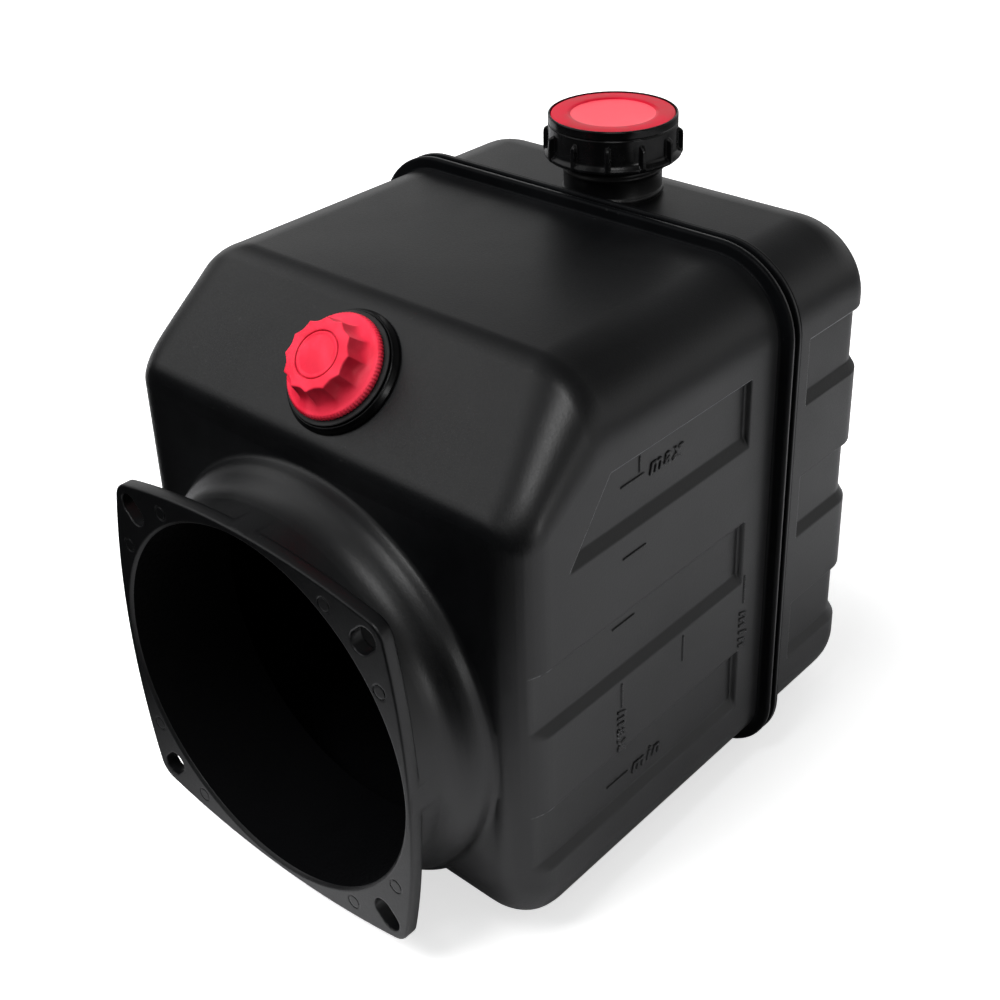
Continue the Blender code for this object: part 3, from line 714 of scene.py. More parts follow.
def slanted_end(y, z, top, bottom):
    """How far behind the slanted front end of the top recess a point lies, in edge steps."""
    rise = top - bottom
    behind = ((y - SLANT_FOOT_Y) * rise - (z - bottom) * SLANT_RUN) / math.hypot(SLANT_RUN, rise)
    return behind / (1.6 * RECESS_STEP)


def recess_depth(y, z, inside, slanted):
    """Depth of the side recesses at a point that lies this far inside their straight end."""
    depth = 0.0
    for row, (top, bottom) in enumerate(recess_rows()):
        edge = min((top - z) / RECESS_STEP, inside / RECESS_STEP)
        if slanted and row == 0:
            edge = min(edge, slanted_end(y, z, top, bottom))
        foot = (z - bottom) / RECESS_FOOT_RAMP
        depth = max(depth, RECESS_DEPTH * min(soft_step(edge), soft_ramp(foot)))
    return depth


def front_recess_depth(y, z):
    return recess_depth(y, z, RECESS_REAR_END - y, True)


def rear_recess_depth(y, z):
    return recess_depth(y, z, y - REAR_RECESS_START, False)


def front_outline(y, offset=0.0):
    depth = y + offset
    side = fillet_inset(depth, FRONT_SIDE_FILLET + offset)
    under = fillet_inset(depth, FRONT_BOTTOM_FILLET + offset)
    if offset < 0:
        slope = BODY_TOP - SHOULDER + y + offset * math.sqrt(2)
        top = min(BODY_TOP + offset, slope)
    else:
        top = shoulder_height(y) + offset
    blend = min(1.0, y / (SHOULDER + 10))
    corner = SHOULDER_EDGE_RADIUS + (TOP_EDGE_RADIUS - SHOULDER_EDGE_RADIUS) * blend ** 2 * (3 - 2 * blend)
    half = HALF_WIDTH - side + offset
    return outline(half, BODY_BOTTOM + under - offset, top, max(3.0, corner - side + offset),
                   max(4.0, BOTTOM_EDGE_RADIUS - side + offset))


def front_section(y, offset=0.0):
    """Section of the front shell at depth y, grown outwards by offset, with its recesses."""
    section = []
    for x, z in front_outline(y, offset):
        if offset == 0.0 and y < RECESS_REAR_END:
            limit = HALF_WIDTH - front_recess_depth(y, z)
            x = math.copysign(min(abs(x), limit), x)
        section.append((x, y, z))
    return section


def rear_section(y, offset=0.0):
    """Section of the rear shell at depth y, grown outwards by offset, with its recesses."""
    inward = min(0.0, offset)
    depth = max(0.0, REAR_WALL_Y + inward - y)
    side = fillet_inset(depth, REAR_SIDE_FILLET + inward)
    over = fillet_inset(depth, REAR_TOP_FILLET + inward)
    under = fillet_inset(depth, REAR_BOTTOM_FILLET + inward)
    grow = offset - REAR_SHELL_INSET
    top = BODY_TOP - over + grow
    corner = min(TOP_EDGE_RADIUS - side + grow, top - STEADY_HIGH - 1.5)
    points = outline(HALF_WIDTH - side + grow, BODY_BOTTOM + under - grow, top,
                     corner, max(6.0, BOTTOM_EDGE_RADIUS - side + grow))
    if offset != 0.0:
        return [(x, y, z) for x, z in points]
    facing = math.asin(max(0.0, min(1.0, (REAR_SIDE_FILLET - depth) / REAR_SIDE_FILLET)))
    section = []
    for x, z in points:
        sunk = rear_recess_depth(y, z)
        section.append((x - math.copysign(sunk * math.cos(facing), x), y - sunk * math.sin(facing), z))
    return section


def rim_profile(height):
    """A rim's (distance from its seam face, height) pairs, from the face to the foot."""
    back = RIM_THICKNESS
    profile = [(0.8 - a, height - 0.8 + b) for a, b in arc(0, 0, 0.8, 0, 90, 4)]
    profile += [(back - 1.1 + a, height - 1.1 + b) for a, b in reversed(arc(0, 0, 1.1, 0, 90, 6))]
    turns = [math.radians(t) for t in range(0, 91, 15)]
    foot = [(back + 1.0 - math.cos(t), 1.0 - math.sin(t)) for t in turns]
    return profile + foot[:-1] + [(back + 4.5, 0.0)]


# ---------------------------------------------------------------- the two shells

def narrowed(section, by=0.6):
    """A section drawn in at its sides, which keeps the wall it lies on flat."""
    return [(x - math.copysign(by, x), y, z) for x, y, z in section]


def to_microns(values):
    return {round(value, 3) for value in values}


def front_shell_mesh():
    seam_face = SEAM_Y - SEAM_GAP / 2
    rim = list(reversed(rim_profile(RIM_HEIGHT)))
    head = SHOULDER_HEAD_RADIUS * math.tan(math.radians(22.5))
    bends = [SHOULDER - head * math.sqrt(0.5) + i * head * (1 + math.sqrt(0.5)) / 8 for i in range(9)]
    recess_end = RECESS_REAR_END - RECESS_STEP / 2
    rows = {0.0} | to_microns(bends)
    rows |= to_microns(fillet_rows(FRONT_BOTTOM_FILLET)) | to_microns(fillet_rows(FRONT_SIDE_FILLET))
    rows |= to_microns(spread(1.0, seam_face - RIM_THICKNESS - 4.6, 2.2, (recess_end,), 0.2, 0.9))
    rows |= to_microns(SLANT_FOOT_Y - 1.1 + 0.45 * i for i in range(56))
    outer = thinned(rows, 0.2)
    sections = [narrowed(front_section(0.0))] + [front_section(y) for y in outer]
    sections += [front_section(seam_face - d, grow) for d, grow in rim]
    slope_end = SHOULDER + WALL * (math.sqrt(2) - 1)
    inner = {seam_face, 120.0, 90.0, 60.0, slope_end + 3, slope_end, 40.0, 30.0}
    inner |= {WALL + d for d in fillet_rows(FRONT_BOTTOM_FILLET - WALL, 6)}
    inner |= {WALL}
    sections += [front_section(y, -WALL) for y in thinned(inner, 0.3)[::-1]]
    return skin("front_shell_moulding", sections, "cap", ladder)


def thinned(values, least):
    """Sorted values with none closer than the least spacing to the one before."""
    kept = []
    for value in sorted(values):
        if not kept or value - kept[-1] >= least:
            kept.append(value)
    return kept


def rear_shell_mesh():
    seam_face = SEAM_Y + SEAM_GAP / 2
    rim = rim_profile(RIM_HEIGHT + REAR_SHELL_INSET)
    start = seam_face + rim[-1][0]
    recess_start = REAR_RECESS_START + RECESS_STEP / 2
    rows = to_microns(spread(start + 0.6, REAR_WALL_Y - REAR_TOP_FILLET, 2.4, (recess_start,), 0.22, 0.9))
    rows |= to_microns(REAR_WALL_Y - d for d in fillet_rows(REAR_TOP_FILLET, 12))
    rows |= to_microns(REAR_WALL_Y - d for d in fillet_rows(REAR_SIDE_FILLET, 12))
    rows |= {REAR_WALL_Y}
    outer = thinned(rows, 0.12)[::-1]
    sections = [narrowed(rear_section(outer[0]))] + [rear_section(y) for y in outer]
    sections += [rear_section(seam_face + d, grow) for d, grow in reversed(rim)]
    inner = {seam_face, 165.0, 180.0} | {REAR_WALL_Y - WALL}
    inner |= {REAR_WALL_Y - WALL - d for d in fillet_rows(REAR_TOP_FILLET - WALL, 7)}
    sections += [rear_section(y, -WALL) for y in thinned(inner, 0.3)]
    return skin("rear_shell_moulding", sections, "cap", ladder)


def rounded_path(points, steps):
    """A smooth curve through points, with a number of steps between each two."""
    path = []
    for i in range(len(points) - 1):
        before = Vector(points[max(i - 1, 0)])
        start = Vector(points[i])
        end = Vector(points[i + 1])
        after = Vector(points[min(i + 2, len(points) - 1)])
        for step in range(steps):
            t = step / steps
            bend = (2 * before - 5 * start + 4 * end - after) * t * t
            twist = (3 * start - before - 3 * end + after) * t ** 3
            path.append(tuple(0.5 * (2 * start + (end - before) * t + bend + twist)))
    return path + [points[-1]]


def neck_mesh():
    """The neck with its soft collar, about local z, which points out of the front wall."""
    spigot = NECK_RADIUS + 0.7
    foot = NECK_COLLAR_RADIUS + 1.9
    bends = [(foot, -0.4), (foot - 1.2, 0.15), (86.0, 1.0), (85.3, 2.6), (84.5, 4.8), (83.0, 7.2),
             (81.2, 9.4), (79.4, 12.0), (78.2, 15.0), (NECK_RADIUS, 18.5)]
    profile = [(spigot, -16.5), (spigot, -4.0), (foot, -4.0)] + rounded_path(bends, 4)
    profile += [(NECK_RADIUS, NECK_LENGTH - 4.0), (NECK_RADIUS, NECK_LENGTH - 1.0)]
    return turned("neck", profile, NECK_FACETS)


def flange_mesh():
    """Square plate with bowed sides and rounded corners."""
    corner = FLANGE_CORNER_RADIUS
    bow = FLANGE_SIDE_ARC
    centre = FLANGE_HALF_WIDTH - bow
    reach = math.sqrt((bow - corner) ** 2 - centre ** 2 / 2) - abs(centre) / math.sqrt(2)
    side_angle = math.degrees(math.atan2(reach / math.sqrt(2), reach / math.sqrt(2) - centre))
    quarter = arc(centre, 0.0, bow, -side_angle, side_angle, 24)
    quarter += arc(reach / math.sqrt(2), reach / math.sqrt(2), corner, side_angle, 90 - side_angle, 12)[1:-1]
    points = []
    for turn in range(4):
        cos, sin = round(math.cos(turn * math.pi / 2)), round(math.sin(turn * math.pi / 2))
        points += [(x * cos - y * sin, x * sin + y * cos) for x, y in quarter]
    back = NECK_LENGTH - FLANGE_THICKNESS
    edge = 0.7
    turns = [math.radians(t) for t in (0, 30, 60, 90)]
    levels = [(back, edge + 0.3)]
    levels += [(back + edge - edge * math.cos(t), edge - edge * math.sin(t)) for t in turns]
    levels += [(NECK_LENGTH - edge + edge * math.sin(t), edge - edge * math.cos(t)) for t in turns]
    levels.append((NECK_LENGTH, edge + 0.3))
    loops = []
    for height, inset in levels:
        scale = 1.0 - inset / FLANGE_HALF_WIDTH
        loops.append([(x * scale, y * scale, height) for x, y in points])
    return skin("flange", loops, "cap")


def slot_mesh(turn):
    """One bolt slot, with its length along the flange's diagonal."""
    straight = (SLOT_LENGTH - SLOT_WIDTH) / 2
    radius = SLOT_WIDTH / 2
    shape = arc(straight, 0.0, radius, -90, 90, 20) + arc(-straight, 0.0, radius, 90, 270, 20)
    cos, sin = math.cos(turn), math.sin(turn)
    reach = SLOT_OFFSET * math.sqrt(2)
    flat = [((x + reach) * cos - y * sin, (x + reach) * sin + y * cos) for x, y in shape]
    ends = (NECK_LENGTH - FLANGE_THICKNESS - 3, NECK_LENGTH + 3)
    return skin("slot", [[(x, y, end) for x, y in flat] for end in ends], "cap")


def bore_mesh():
    edge = 1.2
    profile = [(BORE_RADIUS, -18.0), (BORE_RADIUS, NECK_LENGTH - edge)]
    profile += [(BORE_RADIUS + 2 * edge, NECK_LENGTH + edge)]
    return turned("bore", profile, NECK_FACETS)


def ejector_mesh():
    """Shallow round sink that an ejector pin leaves, with a raised middle."""
    radius = EJECTOR_MARK_RADIUS
    top = NECK_LENGTH + 1
    low = NECK_LENGTH - 0.28
    profile = [(radius - 0.55, top), (radius - 0.55, low), (radius, low), (radius, top)]
    return turned("ejector_mark", profile, 40, "join")


def flange_tools():
    """Bore, four slots and eight ejector marks as one cutter."""
    still = Matrix.Identity(4)
    parts = [(bore_mesh(), still)]
    parts += [(slot_mesh(math.pi * (0.25 + i / 2)), still) for i in range(4)]
    for sx in (1, -1):
        for sy in (1, -1):
            for x, y in ((EJECTOR_MARK_NEAR, EJECTOR_MARK_FAR), (EJECTOR_MARK_FAR, EJECTOR_MARK_NEAR)):
                parts.append((ejector_mesh(), Matrix.Translation(Vector((x * sx, y * sy, 0)) * MM)))
    return joined("flange_tools", parts)


def box_mesh(name, low, high):
    (x0, y0, z0), (x1, y1, z1) = low, high
    bottom = [(x0, y0, z0), (x1, y0, z0), (x1, y1, z0), (x0, y1, z0)]
    return skin(name, [bottom, [(x, y, z1) for x, y, _ in bottom]], "cap")


def darken_inside(shell, mat):
    """Gives the inner faces of a shell, and the bore, the finish of the mould's rough core."""
    shell.data.materials.append(mat)
    for polygon in shell.data.polygons:
        centre = polygon.center / MM
        towards_middle = Vector((0.0, max(centre.y, 60.0), 10.0)) - centre
        outside = abs(centre.x) > HALF_WIDTH - 0.8 * WALL or centre.y > REAR_WALL_Y - 0.8 * WALL
        if outside or polygon.normal.dot(towards_middle) <= 0:
            continue
        in_bore = centre.y <= 0 and Vector((centre.x, centre.z)).length < BORE_RADIUS + 0.3
        in_tank = centre.y > 0 and abs(polygon.normal.y) < 0.8
        on_rear_wall = centre.y > REAR_WALL_Y - 2 * WALL
        if in_bore or in_tank or on_rear_wall:
            polygon.material_index = len(shell.data.materials) - 1


def round_cutter(name, radius, reach):
    return turned(name, [(radius, -reach), (radius, reach)], SMALL_FACETS)


def build_front_shell(plastic, rough):
    neck = object_from(neck_mesh(), plastic, turn=NECK_TURN)
    under = box_mesh("under", (-100, -15, -120), (100, 30, -NECK_RADIUS - 0.7))
    combine(neck, object_from(under, plastic), "DIFFERENCE")
    combine(neck, object_from(flange_mesh(), plastic, turn=NECK_TURN), "UNION")
    moulding = ["front_shell", "pump_neck", "pump_flange"]
    shell = piece(front_shell_mesh(), plastic, "tank", moulding)
    combine(shell, neck, "UNION")
    combine(shell, object_from(flange_tools(), plastic, turn=NECK_TURN), "DIFFERENCE")
    hole = round_cutter("breather_hole", BREATHER_HOLE_RADIUS, 20.0)
    combine(shell, object_from(hole, plastic, BREATHER_PLACE, SHOULDER_TURN), "DIFFERENCE")
    darken_inside(shell, rough)


def build_rear_shell(plastic, rough):
    shell = piece(rear_shell_mesh(), plastic, "tank", ["rear_shell"])
    hole = round_cutter("filler_hole", FILLER_HOLE_RADIUS, 12.0)
    combine(shell, object_from(hole, plastic, FILLER_PLACE), "DIFFERENCE")
    darken_inside(shell, rough)


def build_seam(plastic):
    """Bead of melted plastic between the rims, slightly uneven."""
    half = SEAM_GAP / 2 - GAP
    steps = 8
    turns = [math.pi * i / steps for i in range(steps + 1)]
    rings = [(-half, -WALL)]
    rings += [(-half * math.cos(t), BEAD_HEIGHT - half + half * math.sin(t)) for t in turns]
    rings.append((half, -WALL))
    loops = []
    for across, grow in rings:
        loop = []
        for x, z in front_outline(SEAM_Y, grow):
            lump = 0.22 * noise.noise(Vector((x, z, 0.0)) * 0.35) if grow > 0 else 0.0
            loop.append((x * (1 + lump / HALF_WIDTH), SEAM_Y + across, z * (1 + lump / HALF_WIDTH)))
        loops.append(loop)
    flash = skin("seam_weld_flash", loops, "join")
    piece(flash, plastic, "tank", ["seam_weld_bead"])


# ---------------------------------------------------------------- level marks

def stroke(y0, z0, y1, z1, width=0.9, height=0.42):
    """A raised rib on a recess floor, from one point to another, with sloping sides."""
    along = Vector((0, y1 - y0, z1 - z0)).normalized()
    across = Vector((1, 0, 0)).cross(along)
    base = HALF_WIDTH - RECESS_DEPTH
    loops = []
    for rise, half, trim in ((-0.4, width / 2, 0.0), (0.0, width / 2, 0.0), (height, width / 2 - 0.2, 0.2)):
        start = Vector((base + rise, y0, z0)) + along * trim
        end = Vector((base + rise, y1, z1)) - along * trim
        loops.append([start - across * half, end - across * half, end + across * half, start + across * half])
    return loops


def letters(name, text, size, length, y, z, turn_degrees, raise_by, side):
    """Raised lettering on the side wall; it reads along +y on the right-hand side."""
    curve = bpy.data.curves.new(name, "FONT")
    curve.body = text
    curve.size = size * MM
    curve.extrude = 0.42 * MM
    curve.bevel_depth = 0.06 * MM
    curve.shear = 0.25
    curve.space_character = 1.25
    curve.offset = 0.14 * MM
    text_object = bpy.data.objects.new(name, curve)
    bpy.context.scene.collection.objects.link(text_object)
    bpy.context.view_layer.update()
    data = bpy.data.meshes.new_from_object(text_object.evaluated_get(bpy.context.evaluated_depsgraph_get()))
    bpy.data.objects.remove(text_object, do_unlink=True)
    widest = max(v.co.x for v in data.vertices)
    data.transform(Matrix.Diagonal((length * MM / widest, 1, 1, 1)))
    facing = Matrix(((0, 0, side, 0), (side, 0, 0, 0), (0, 1, 0, 0), (0, 0, 0, 1)))
    spin = Matrix.Rotation(math.radians(turn_degrees), 4, "Z")
    spot = Matrix.Translation(Vector((side * raise_by, y, z)) * MM)
    data.transform(spot @ facing @ spin)
    data.name = name
    return data


def build_level_marks(plastic):
    floor = HALF_WIDTH - RECESS_DEPTH
    wall = HALF_WIDTH
    strokes = [(floor, 54.0, 90.6, 66.8, 90.6), (floor, 64.4, 92.0, 64.4, 98.4),
               (wall, 52.4, 63.7, 65.3, 63.7), (floor, 49.9, 34.2, 62.5, 34.2),
               (wall, 52.5, 10.4, 52.5, -0.4), (wall, 89.6, 9.8, 89.6, -2.0),
               (wall, 129.8, 14.9, 129.8, 1.8), (floor, 47.1, -36.6, 59.7, -36.6)]
    words = [("max", 9.5, 19.8, 69.6, 88.2, 0, floor), ("max", 9.0, 20.0, 50.4, -1.0, -90, wall),
             ("min", 8.6, 18.0, 127.6, -1.4, -90, wall), ("min", 8.6, 18.0, 62.0, -39.6, 0, floor)]
    for side, label in ((1, "right"), (-1, "left")):
        parts = []
        for base, y0, z0, y1, z1 in strokes:
            mesh = skin("stroke", stroke(y0, z0, y1, z1), "cap")
            shift = Matrix.Translation(Vector((base - floor, 0, 0)) * MM)
            mirror = Matrix.Diagonal((side, 1, 1, 1))
            if side < 0:
                mesh.flip_normals()
            parts.append((mesh, mirror @ shift))
        for index, (text, size, length, y, z, turn, base) in enumerate(words):
            start = y if side > 0 else y + (length if turn == 0 else size / 2)
            word = letters(f"word_{index}", text, size, length, start, z, turn, base, side)
            parts.append((word, Matrix.Identity(4)))
        marks = piece(joined(f"level_marks_{label}", parts), plastic, "tank")
        shade(marks.data, 20)


# ---------------------------------------------------------------- filler neck and screw cap

def filler_neck_mesh():
    spigot = FILLER_HOLE_RADIUS - GAP
    crest = FILLER_THREAD_CREST
    foot = FILLER_FOOT_RADIUS
    outer = [(spigot, -7.0), (spigot, GAP), (foot, GAP)] + arc(foot - 0.5, 1.3, 0.5, 0, 90, 4)
    outer += [(FILLER_THREAD_ROOT, 2.2), (FILLER_THREAD_ROOT, 5.0)]
    thread = thread_profile(FILLER_THREAD_ROOT, crest, FILLER_THREAD_PITCH, 8.5, FILLER_RIM - 1.5)
    inner = arc(FILLER_THREAD_ROOT - 0.5, FILLER_RIM - 0.5, 0.5, 0, 90, 4)
    bore = FILLER_BORE_RADIUS
    inner += [(bore + 0.4, FILLER_RIM), (bore, FILLER_RIM - 0.4), (bore, -7.0)]
    return turned("filler_neck_moulding", outer + thread + inner, SMALL_FACETS, "join")


def cap_ring_mesh():
    """Black ring with thin grip ribs over a flared skirt outside and the thread inside."""
    def ribbed(body, rib, half_width=2.0):
        def radius(angle):
            step = (math.degrees(angle) + 11.5) % (360 / CAP_LUGS) - 15.0
            return body + (rib - body) * soft_step((half_width + 0.6 - abs(step)) / 1.2)
        return radius

    body = CAP_RADIUS
    rib = CAP_LUG_RADIUS
    skirt = CAP_RADIUS + 1.6
    crest = FILLER_THREAD_CREST + THREAD_CLEARANCE
    root = FILLER_THREAD_ROOT + THREAD_CLEARANCE
    wall_low = FILLER_RIM + 5.5
    flare = ((skirt - 0.6, 1.0, 0.35), (skirt, 0.3, 1.0), (skirt, 0.0, 1.9), (skirt - 0.3, 0.0, 2.3),
             (skirt - 1.1, 0.0, 2.9), (body + 0.1, 0.0, 3.8), (body, 0.0, 5.0))
    outer = [(body - 2.0, CAP_BOTTOM), (skirt - 1.5, CAP_BOTTOM)]
    outer += [(ribbed(valley, rib - cut), CAP_BOTTOM + rise) for valley, cut, rise in flare]
    outer += [(ribbed(body, rib - 0.05), CAP_LUG_TOP - 2.5)]
    outer += [(ribbed(body, rib - cut, width), CAP_LUG_TOP - 1.6 + rise)
              for cut, rise, width in ((0.2, 0.4, 1.9), (0.6, 1.0, 1.7), (1.2, 1.5, 1.3), (2.0, 1.8, 0.8))]
    outer += [(body, CAP_LUG_TOP + 0.8), (body, CAP_LUG_TOP + 2.4), (body - 0.25, CAP_LUG_TOP + 2.7),
              (body - 0.25, CAP_LUG_TOP + 3.0), (body, CAP_LUG_TOP + 3.3)]
    outer += arc(body - 0.6, CAP_TOP - 0.6, 0.6, 0, 90, 5)
    inner = [(INSERT_RADIUS + GAP, CAP_TOP), (INSERT_RADIUS + GAP, wall_low + 1.4), (14.9, wall_low + 1.4),
             (14.9, wall_low), (crest, wall_low)]
    thread = thread_profile(root, crest, FILLER_THREAD_PITCH, CAP_BOTTOM + 0.4, FILLER_RIM + 0.2, True)
    return turned("filler_cap_grip_ring", outer + inner + thread[::-1], CAP_FACETS, "join")


def cap_insert_mesh():
    """Red disc with a rounded edge, a shallow dish and a soft ring round it."""
    low = FILLER_RIM + 5.5
    face = low + 1.4 + GAP
    top = CAP_TOP - 0.3
    dish = INSERT_DISH_RADIUS
    profile = [(14.6, low), (14.6, face), (INSERT_RADIUS, face), (INSERT_RADIUS, top - 0.7)]
    profile += arc(INSERT_RADIUS - 0.7, top - 0.7, 0.7, 15, 90, 5)
    profile += [(dish + 1.6, top), (dish + 0.9, top - 0.06), (dish + 0.4, top - 0.25), (dish, top - 0.5),
                (dish - 0.5, top - 0.64), (dish - 1.4, top - 0.7)]
    profile += [(r, top - 0.7 - 0.10 * (1 - (r / dish) ** 2)) for r in (12.0, 8.0, 4.0, 1.0)]
    return turned("filler_cap_disc", profile, CAP_FACETS // 4)


def build_filler(black, glossy, red, dish_red):
    piece(filler_neck_mesh(), black, "tank", ["filler_neck"], FILLER_PLACE)
    disc = piece(cap_insert_mesh(), red, "filler_cap_carrier",
                 ["filler_cap_insert"], FILLER_PLACE)
    disc.data.materials.append(dish_red)
    for polygon in disc.data.polygons:
        if polygon.center.z > (CAP_TOP - 2) * MM and polygon.center.xy.length < INSERT_DISH_RADIUS * MM:
            polygon.material_index = 1
    piece(cap_ring_mesh(), glossy, "filler_cap_ring_body",
          ["filler_cap_ring"], FILLER_PLACE)


# ---------------------------------------------------------------- breather plug

def boss_mesh():
    spigot = BREATHER_HOLE_RADIUS - GAP
    crest = PLUG_THREAD_CREST + THREAD_CLEARANCE
    root = PLUG_THREAD_ROOT + THREAD_CLEARANCE
    outer = [(spigot, BOSS_BOTTOM), (spigot, GAP), (BOSS_RADIUS - 0.2, GAP), (BOSS_RADIUS, GAP + 0.2),
             (BOSS_RADIUS, 0.9), (BOSS_RADIUS - 0.15, 1.2), (BOSS_TOP_RADIUS + 0.1, BOSS_TOP - 0.8)]
    outer += arc(BOSS_TOP_RADIUS - 0.5, BOSS_TOP - 0.5, 0.5, 10, 90, 5)
    outer += [(GASKET_RADIUS + 0.3, BOSS_TOP), (GASKET_RADIUS + 0.1, BOSS_TOP - 0.2), (13.9, BOSS_TOP - 0.2),
              (crest, BOSS_TOP - 0.4)]
    thread = thread_profile(root, crest, PLUG_THREAD_PITCH, BOSS_BOTTOM + 0.6, 1.2, True)
    inner = thread[::-1] + [(crest, BOSS_BOTTOM)]
    return turned("breather_boss_moulding", outer + inner, SMALL_FACETS, "join")


def head_mesh():
    """Red cap: knurled flange, twelve grip lobes with scooped flutes, and a ring round its disc."""
    def lobed(tip, valley):
        def radius(angle):
            across = (HEAD_LOBES * angle / (2 * math.pi) + 0.5) % 1.0
            return valley + (tip - valley) * abs(2 * across - 1.0) ** 1.8
        return radius

    def knurled(crest, depth):
        return lambda angle: crest - depth * (0.5 - 0.5 * math.cos(KNURLS * angle)) ** 1.5

    rim = HEAD_FLANGE_RADIUS
    knurls = ((0.4, 0.1, 4.8), (0.0, 0.45, 5.2), (0.0, 0.5, 5.8), (0.2, 0.45, 6.4), (0.6, 0.25, 6.9))
    lobes = ((16.6, 16.3, 8.35), (16.1, 15.5, 8.8), (15.7, 14.8, 9.4), (15.4, 14.2, 10.2),
             (15.0, 13.7, 11.4), (14.6, 13.3, 13.0), (14.3, 13.05, HEAD_TOP - 2.0),
             (14.05, 12.85, HEAD_TOP - 0.7))
    outer = [(HEAD_SOCKET_RADIUS, 4.7), (rim - 0.9, 4.7)]
    outer += [(knurled(rim - cut, depth), height) for cut, depth, height in knurls]
    outer += [(19.0, 7.3), (18.3, 7.45), (17.6, 7.7), (17.0, 8.05)]
    outer += [(lobed(tip, valley), height) for tip, valley, height in lobes]
    for turn in (20, 45, 70, 90):
        cut = 0.5 * (1 - math.cos(math.radians(turn)))
        rise = 0.5 * math.sin(math.radians(turn))
        outer.append((lobed(14.0 - cut, 12.8 - cut), HEAD_TOP - 0.5 + rise))
    disc = HEAD_DISC_RADIUS + GAP
    top = [(lobed(12.9, 12.0), HEAD_TOP), (11.0, HEAD_TOP), (disc + 0.5, HEAD_TOP),
           (disc + 0.1, HEAD_TOP - 0.15), (disc, HEAD_TOP - 0.5), (disc, HEAD_TOP - 1.0),
           (0.5, HEAD_TOP - 1.0)]
    under = [(0.5, 13.4), (HEAD_SOCKET_RADIUS, 13.4)]
    return turned("breather_grip_head", outer + top + under, HEAD_FACETS, "join")


def head_disc_mesh():
    top = HEAD_TOP - 0.1
    r = HEAD_DISC_RADIUS
    profile = [(r, HEAD_TOP - 0.7), (r, top - 0.35)] + arc(r - 0.35, top - 0.35, 0.35, 20, 90, 4)
    profile += [(r - 1.0, top), (r - 1.3, top - 0.12), (r - 1.7, top - 0.12), (r - 2.0, top), (1.0, top)]
    return turned("breather_centre_disc", profile, SMALL_FACETS)


def seal_mesh():
    outer = GASKET_RADIUS
    inner = PLUG_THREAD_CREST + 0.5
    low = BOSS_TOP + GAP
    high = 4.4
    middle = (low + high) / 2
    half = (high - low) / 2
    profile = [(outer - half + half * math.cos(math.radians(t)), middle + half * math.sin(math.radians(t)))
               for t in range(-90, 91, 18)]
    profile += [(inner + 0.2, high), (inner, high - 0.2), (inner, low + 0.2), (inner + 0.2, low)]
    return turned("breather_seal_ring", profile, SMALL_FACETS, "join")


def build_breather(glossy, red, rubber):
    place, turn = BREATHER_PLACE, SHOULDER_TURN
    piece(boss_mesh(), glossy, "tank", ["breather_boss"], place, turn)
    piece(seal_mesh(), rubber, "breather_carrier", ["breather_gasket"], place, turn)
    piece(head_mesh(), red, "breather_plug", ["breather_head"], place, turn)
    piece(head_disc_mesh(), red, "breather_plug", ["breather_head_disc"], place, turn)


# ---------------------------------------------------------------- studio

def sheet(name, mat, height, unseen):
    """A large level square of the studio, left out for some kinds of ray."""
    size = 3.0
    square = [(-size, -size, 0), (size, -size, 0), (size, size, 0), (-size, size, 0)]
    data = bpy.data.meshes.new(name)
    data.from_pydata(square, [], [(0, 1, 2, 3)])
    data.materials.append(mat)
    thing = bpy.data.objects.new(name, data)
    thing.location.z = height
    for kind in unseen:
        setattr(thing, f"visible_{kind}", False)
    bpy.context.scene.collection.objects.link(thing)
    return thing


def build_floor():
    """The floor in view, and under it a card that lights and reflects into the part in its place, with
    painted shade in its dark zones.
    """
    floor = sheet("studio_floor", floor_white(), -0.0005, ("diffuse", "glossy", "shadow"))
    card = sheet("studio_card", reflection_card_with_painted_shade(), -0.0010, ("camera", "shadow", "transmission"))


def area_light(name, place, size, power, shines=True, reflects=True):
    light = bpy.data.lights.new(name, "AREA")
    light.shape = "SQUARE"
    light.size = size
    light.energy = power
    lamp = bpy.data.objects.new(name, light)
    lamp.location = place
    towards = Vector((0.0, 0.0, 0.15)) - Vector(place)
    lamp.rotation_euler = towards.to_track_quat("-Z", "Y").to_euler()
    lamp.visible_diffuse = shines
    lamp.visible_glossy = reflects
    bpy.context.scene.collection.objects.link(lamp)


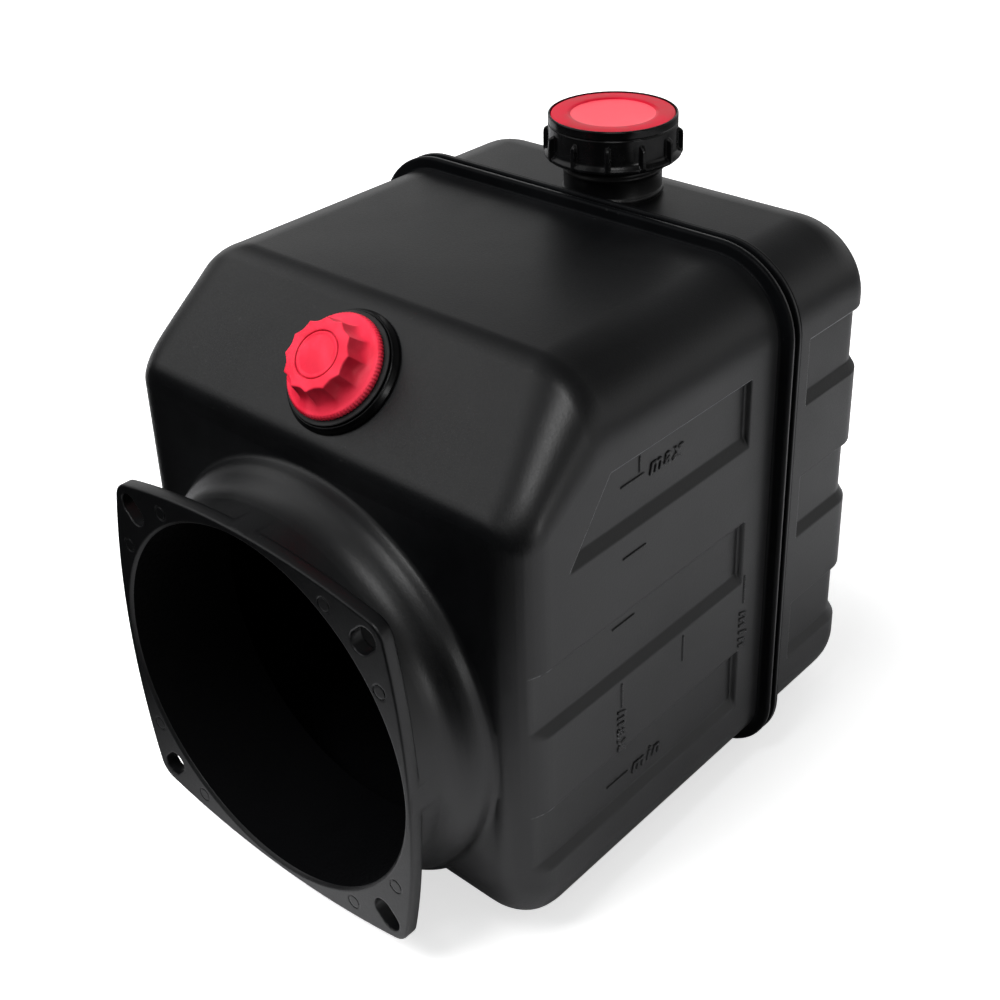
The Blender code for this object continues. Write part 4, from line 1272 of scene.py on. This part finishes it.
def build_world():
    """A pale studio: white to the eye, and for reflections bright before the part and low behind it."""
    world = bpy.data.worlds.new("studio")
    bpy.context.scene.world = world
    world.use_nodes = True
    tree = world.node_tree
    background = tree.nodes["Background"]
    x, y, z = axes(tree, "Generated")
    backwards = remap(tree, y, -0.2, 0.4)
    behind = times(tree, remap(tree, z, 0.26, 0.46, 0.85, 0.14), remap(tree, x, -0.35, 0.05, 1.0, 0.68))
    overhead = remap(tree, z, 0.70, 0.85, 1.0, 0.35)
    raised = times(tree, remap(tree, z, 0.20, 0.55, 0.03, 1.20), overhead)
    before = times(tree, raised, remap(tree, x, -0.50, 0.0, 1.0, 0.25))
    forwards = calculate(tree, "SUBTRACT", 1.0, backwards)
    level = calculate(tree, "ADD", times(tree, behind, backwards), times(tree, before, forwards))
    rays = tree.nodes.new("ShaderNodeLightPath")
    diffuse = rays.outputs["Is Diffuse Ray"]
    softer = times(tree, diffuse, 0.30)
    shone = times(tree, level, calculate(tree, "SUBTRACT", 1.0, diffuse))
    strength = larger(tree, calculate(tree, "ADD", shone, softer), rays.outputs["Is Camera Ray"])
    tree.links.new(strength, background.inputs["Strength"])
    background.inputs["Color"].default_value = (1.0, 1.0, 1.0, 1.0)


def build_lights():
    """One high lamp for light and shade, and two weaker ones that only show as glints."""
    area_light("key_above", (-0.75, -1.30, 2.60), 2.0, 112.0, reflects=False)
    area_light("edge_glint", (0.50, -0.50, 1.15), 0.45, 3.4, shines=False)
    area_light("side_glint", (1.50, -0.15, 0.35), 0.3, 1.5, shines=False)


def build_camera():
    camera = bpy.data.cameras.new("camera")
    camera.sensor_width = 36.0
    camera.lens = 55.656
    camera.shift_x = 0.02088
    camera.shift_y = -0.11226
    camera.clip_start = 0.01
    holder = bpy.data.objects.new("camera", camera)
    holder.matrix_world = Matrix(((0.73954, -0.29634, 0.60437, 0.36368),
                                  (0.67214, 0.37353, -0.63930, -0.38558),
                                  (-0.03630, 0.87901, 0.47542, 0.45231),
                                  (0.0, 0.0, 0.0, 1.0)))
    bpy.context.scene.collection.objects.link(holder)
    bpy.context.scene.camera = holder
    bpy.context.scene.view_settings.view_transform = "Standard"


# ---------------------------------------------------------------- the whole scene

def dress_cad_nodes(nodes, black, rubber, foam, gauze):
    """Gives the CAD nodes that stay in view their detailed materials."""
    finishes = {"filler_strainer": black, "strainer_gauze": gauze, "filler_cap_gasket": rubber,
                "filler_cap_seal_plate": black, "filler_cap_vent_foam": foam, "breather_stem": black,
                "breather_filter": foam, "breather_splash_guard": black}
    for name, mat in finishes.items():
        for place in nodes[name].material_slots:
            place.material = mat


def main():
    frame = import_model()
    black = moulded_black()
    glossy = gloss_black()
    red = red_plastic("red_moulded_plastic", BRIGHT_RED)
    deep_red = red_plastic("red_cap_plastic", DEEP_RED)
    rubber = seal_rubber()
    dress_cad_nodes(frame["nodes"], black, rubber, filter_foam(), woven_gauze())
    rough = core_black()
    build_front_shell(black, rough)
    build_rear_shell(black, rough)
    build_seam(black)
    build_level_marks(black)
    build_filler(black, glossy, deep_red, red_plastic("red_satin_plastic", SATIN_RED))
    build_breather(glossy, red, rubber)
    build_floor()
    build_world()
    build_lights()
    build_camera()


main()
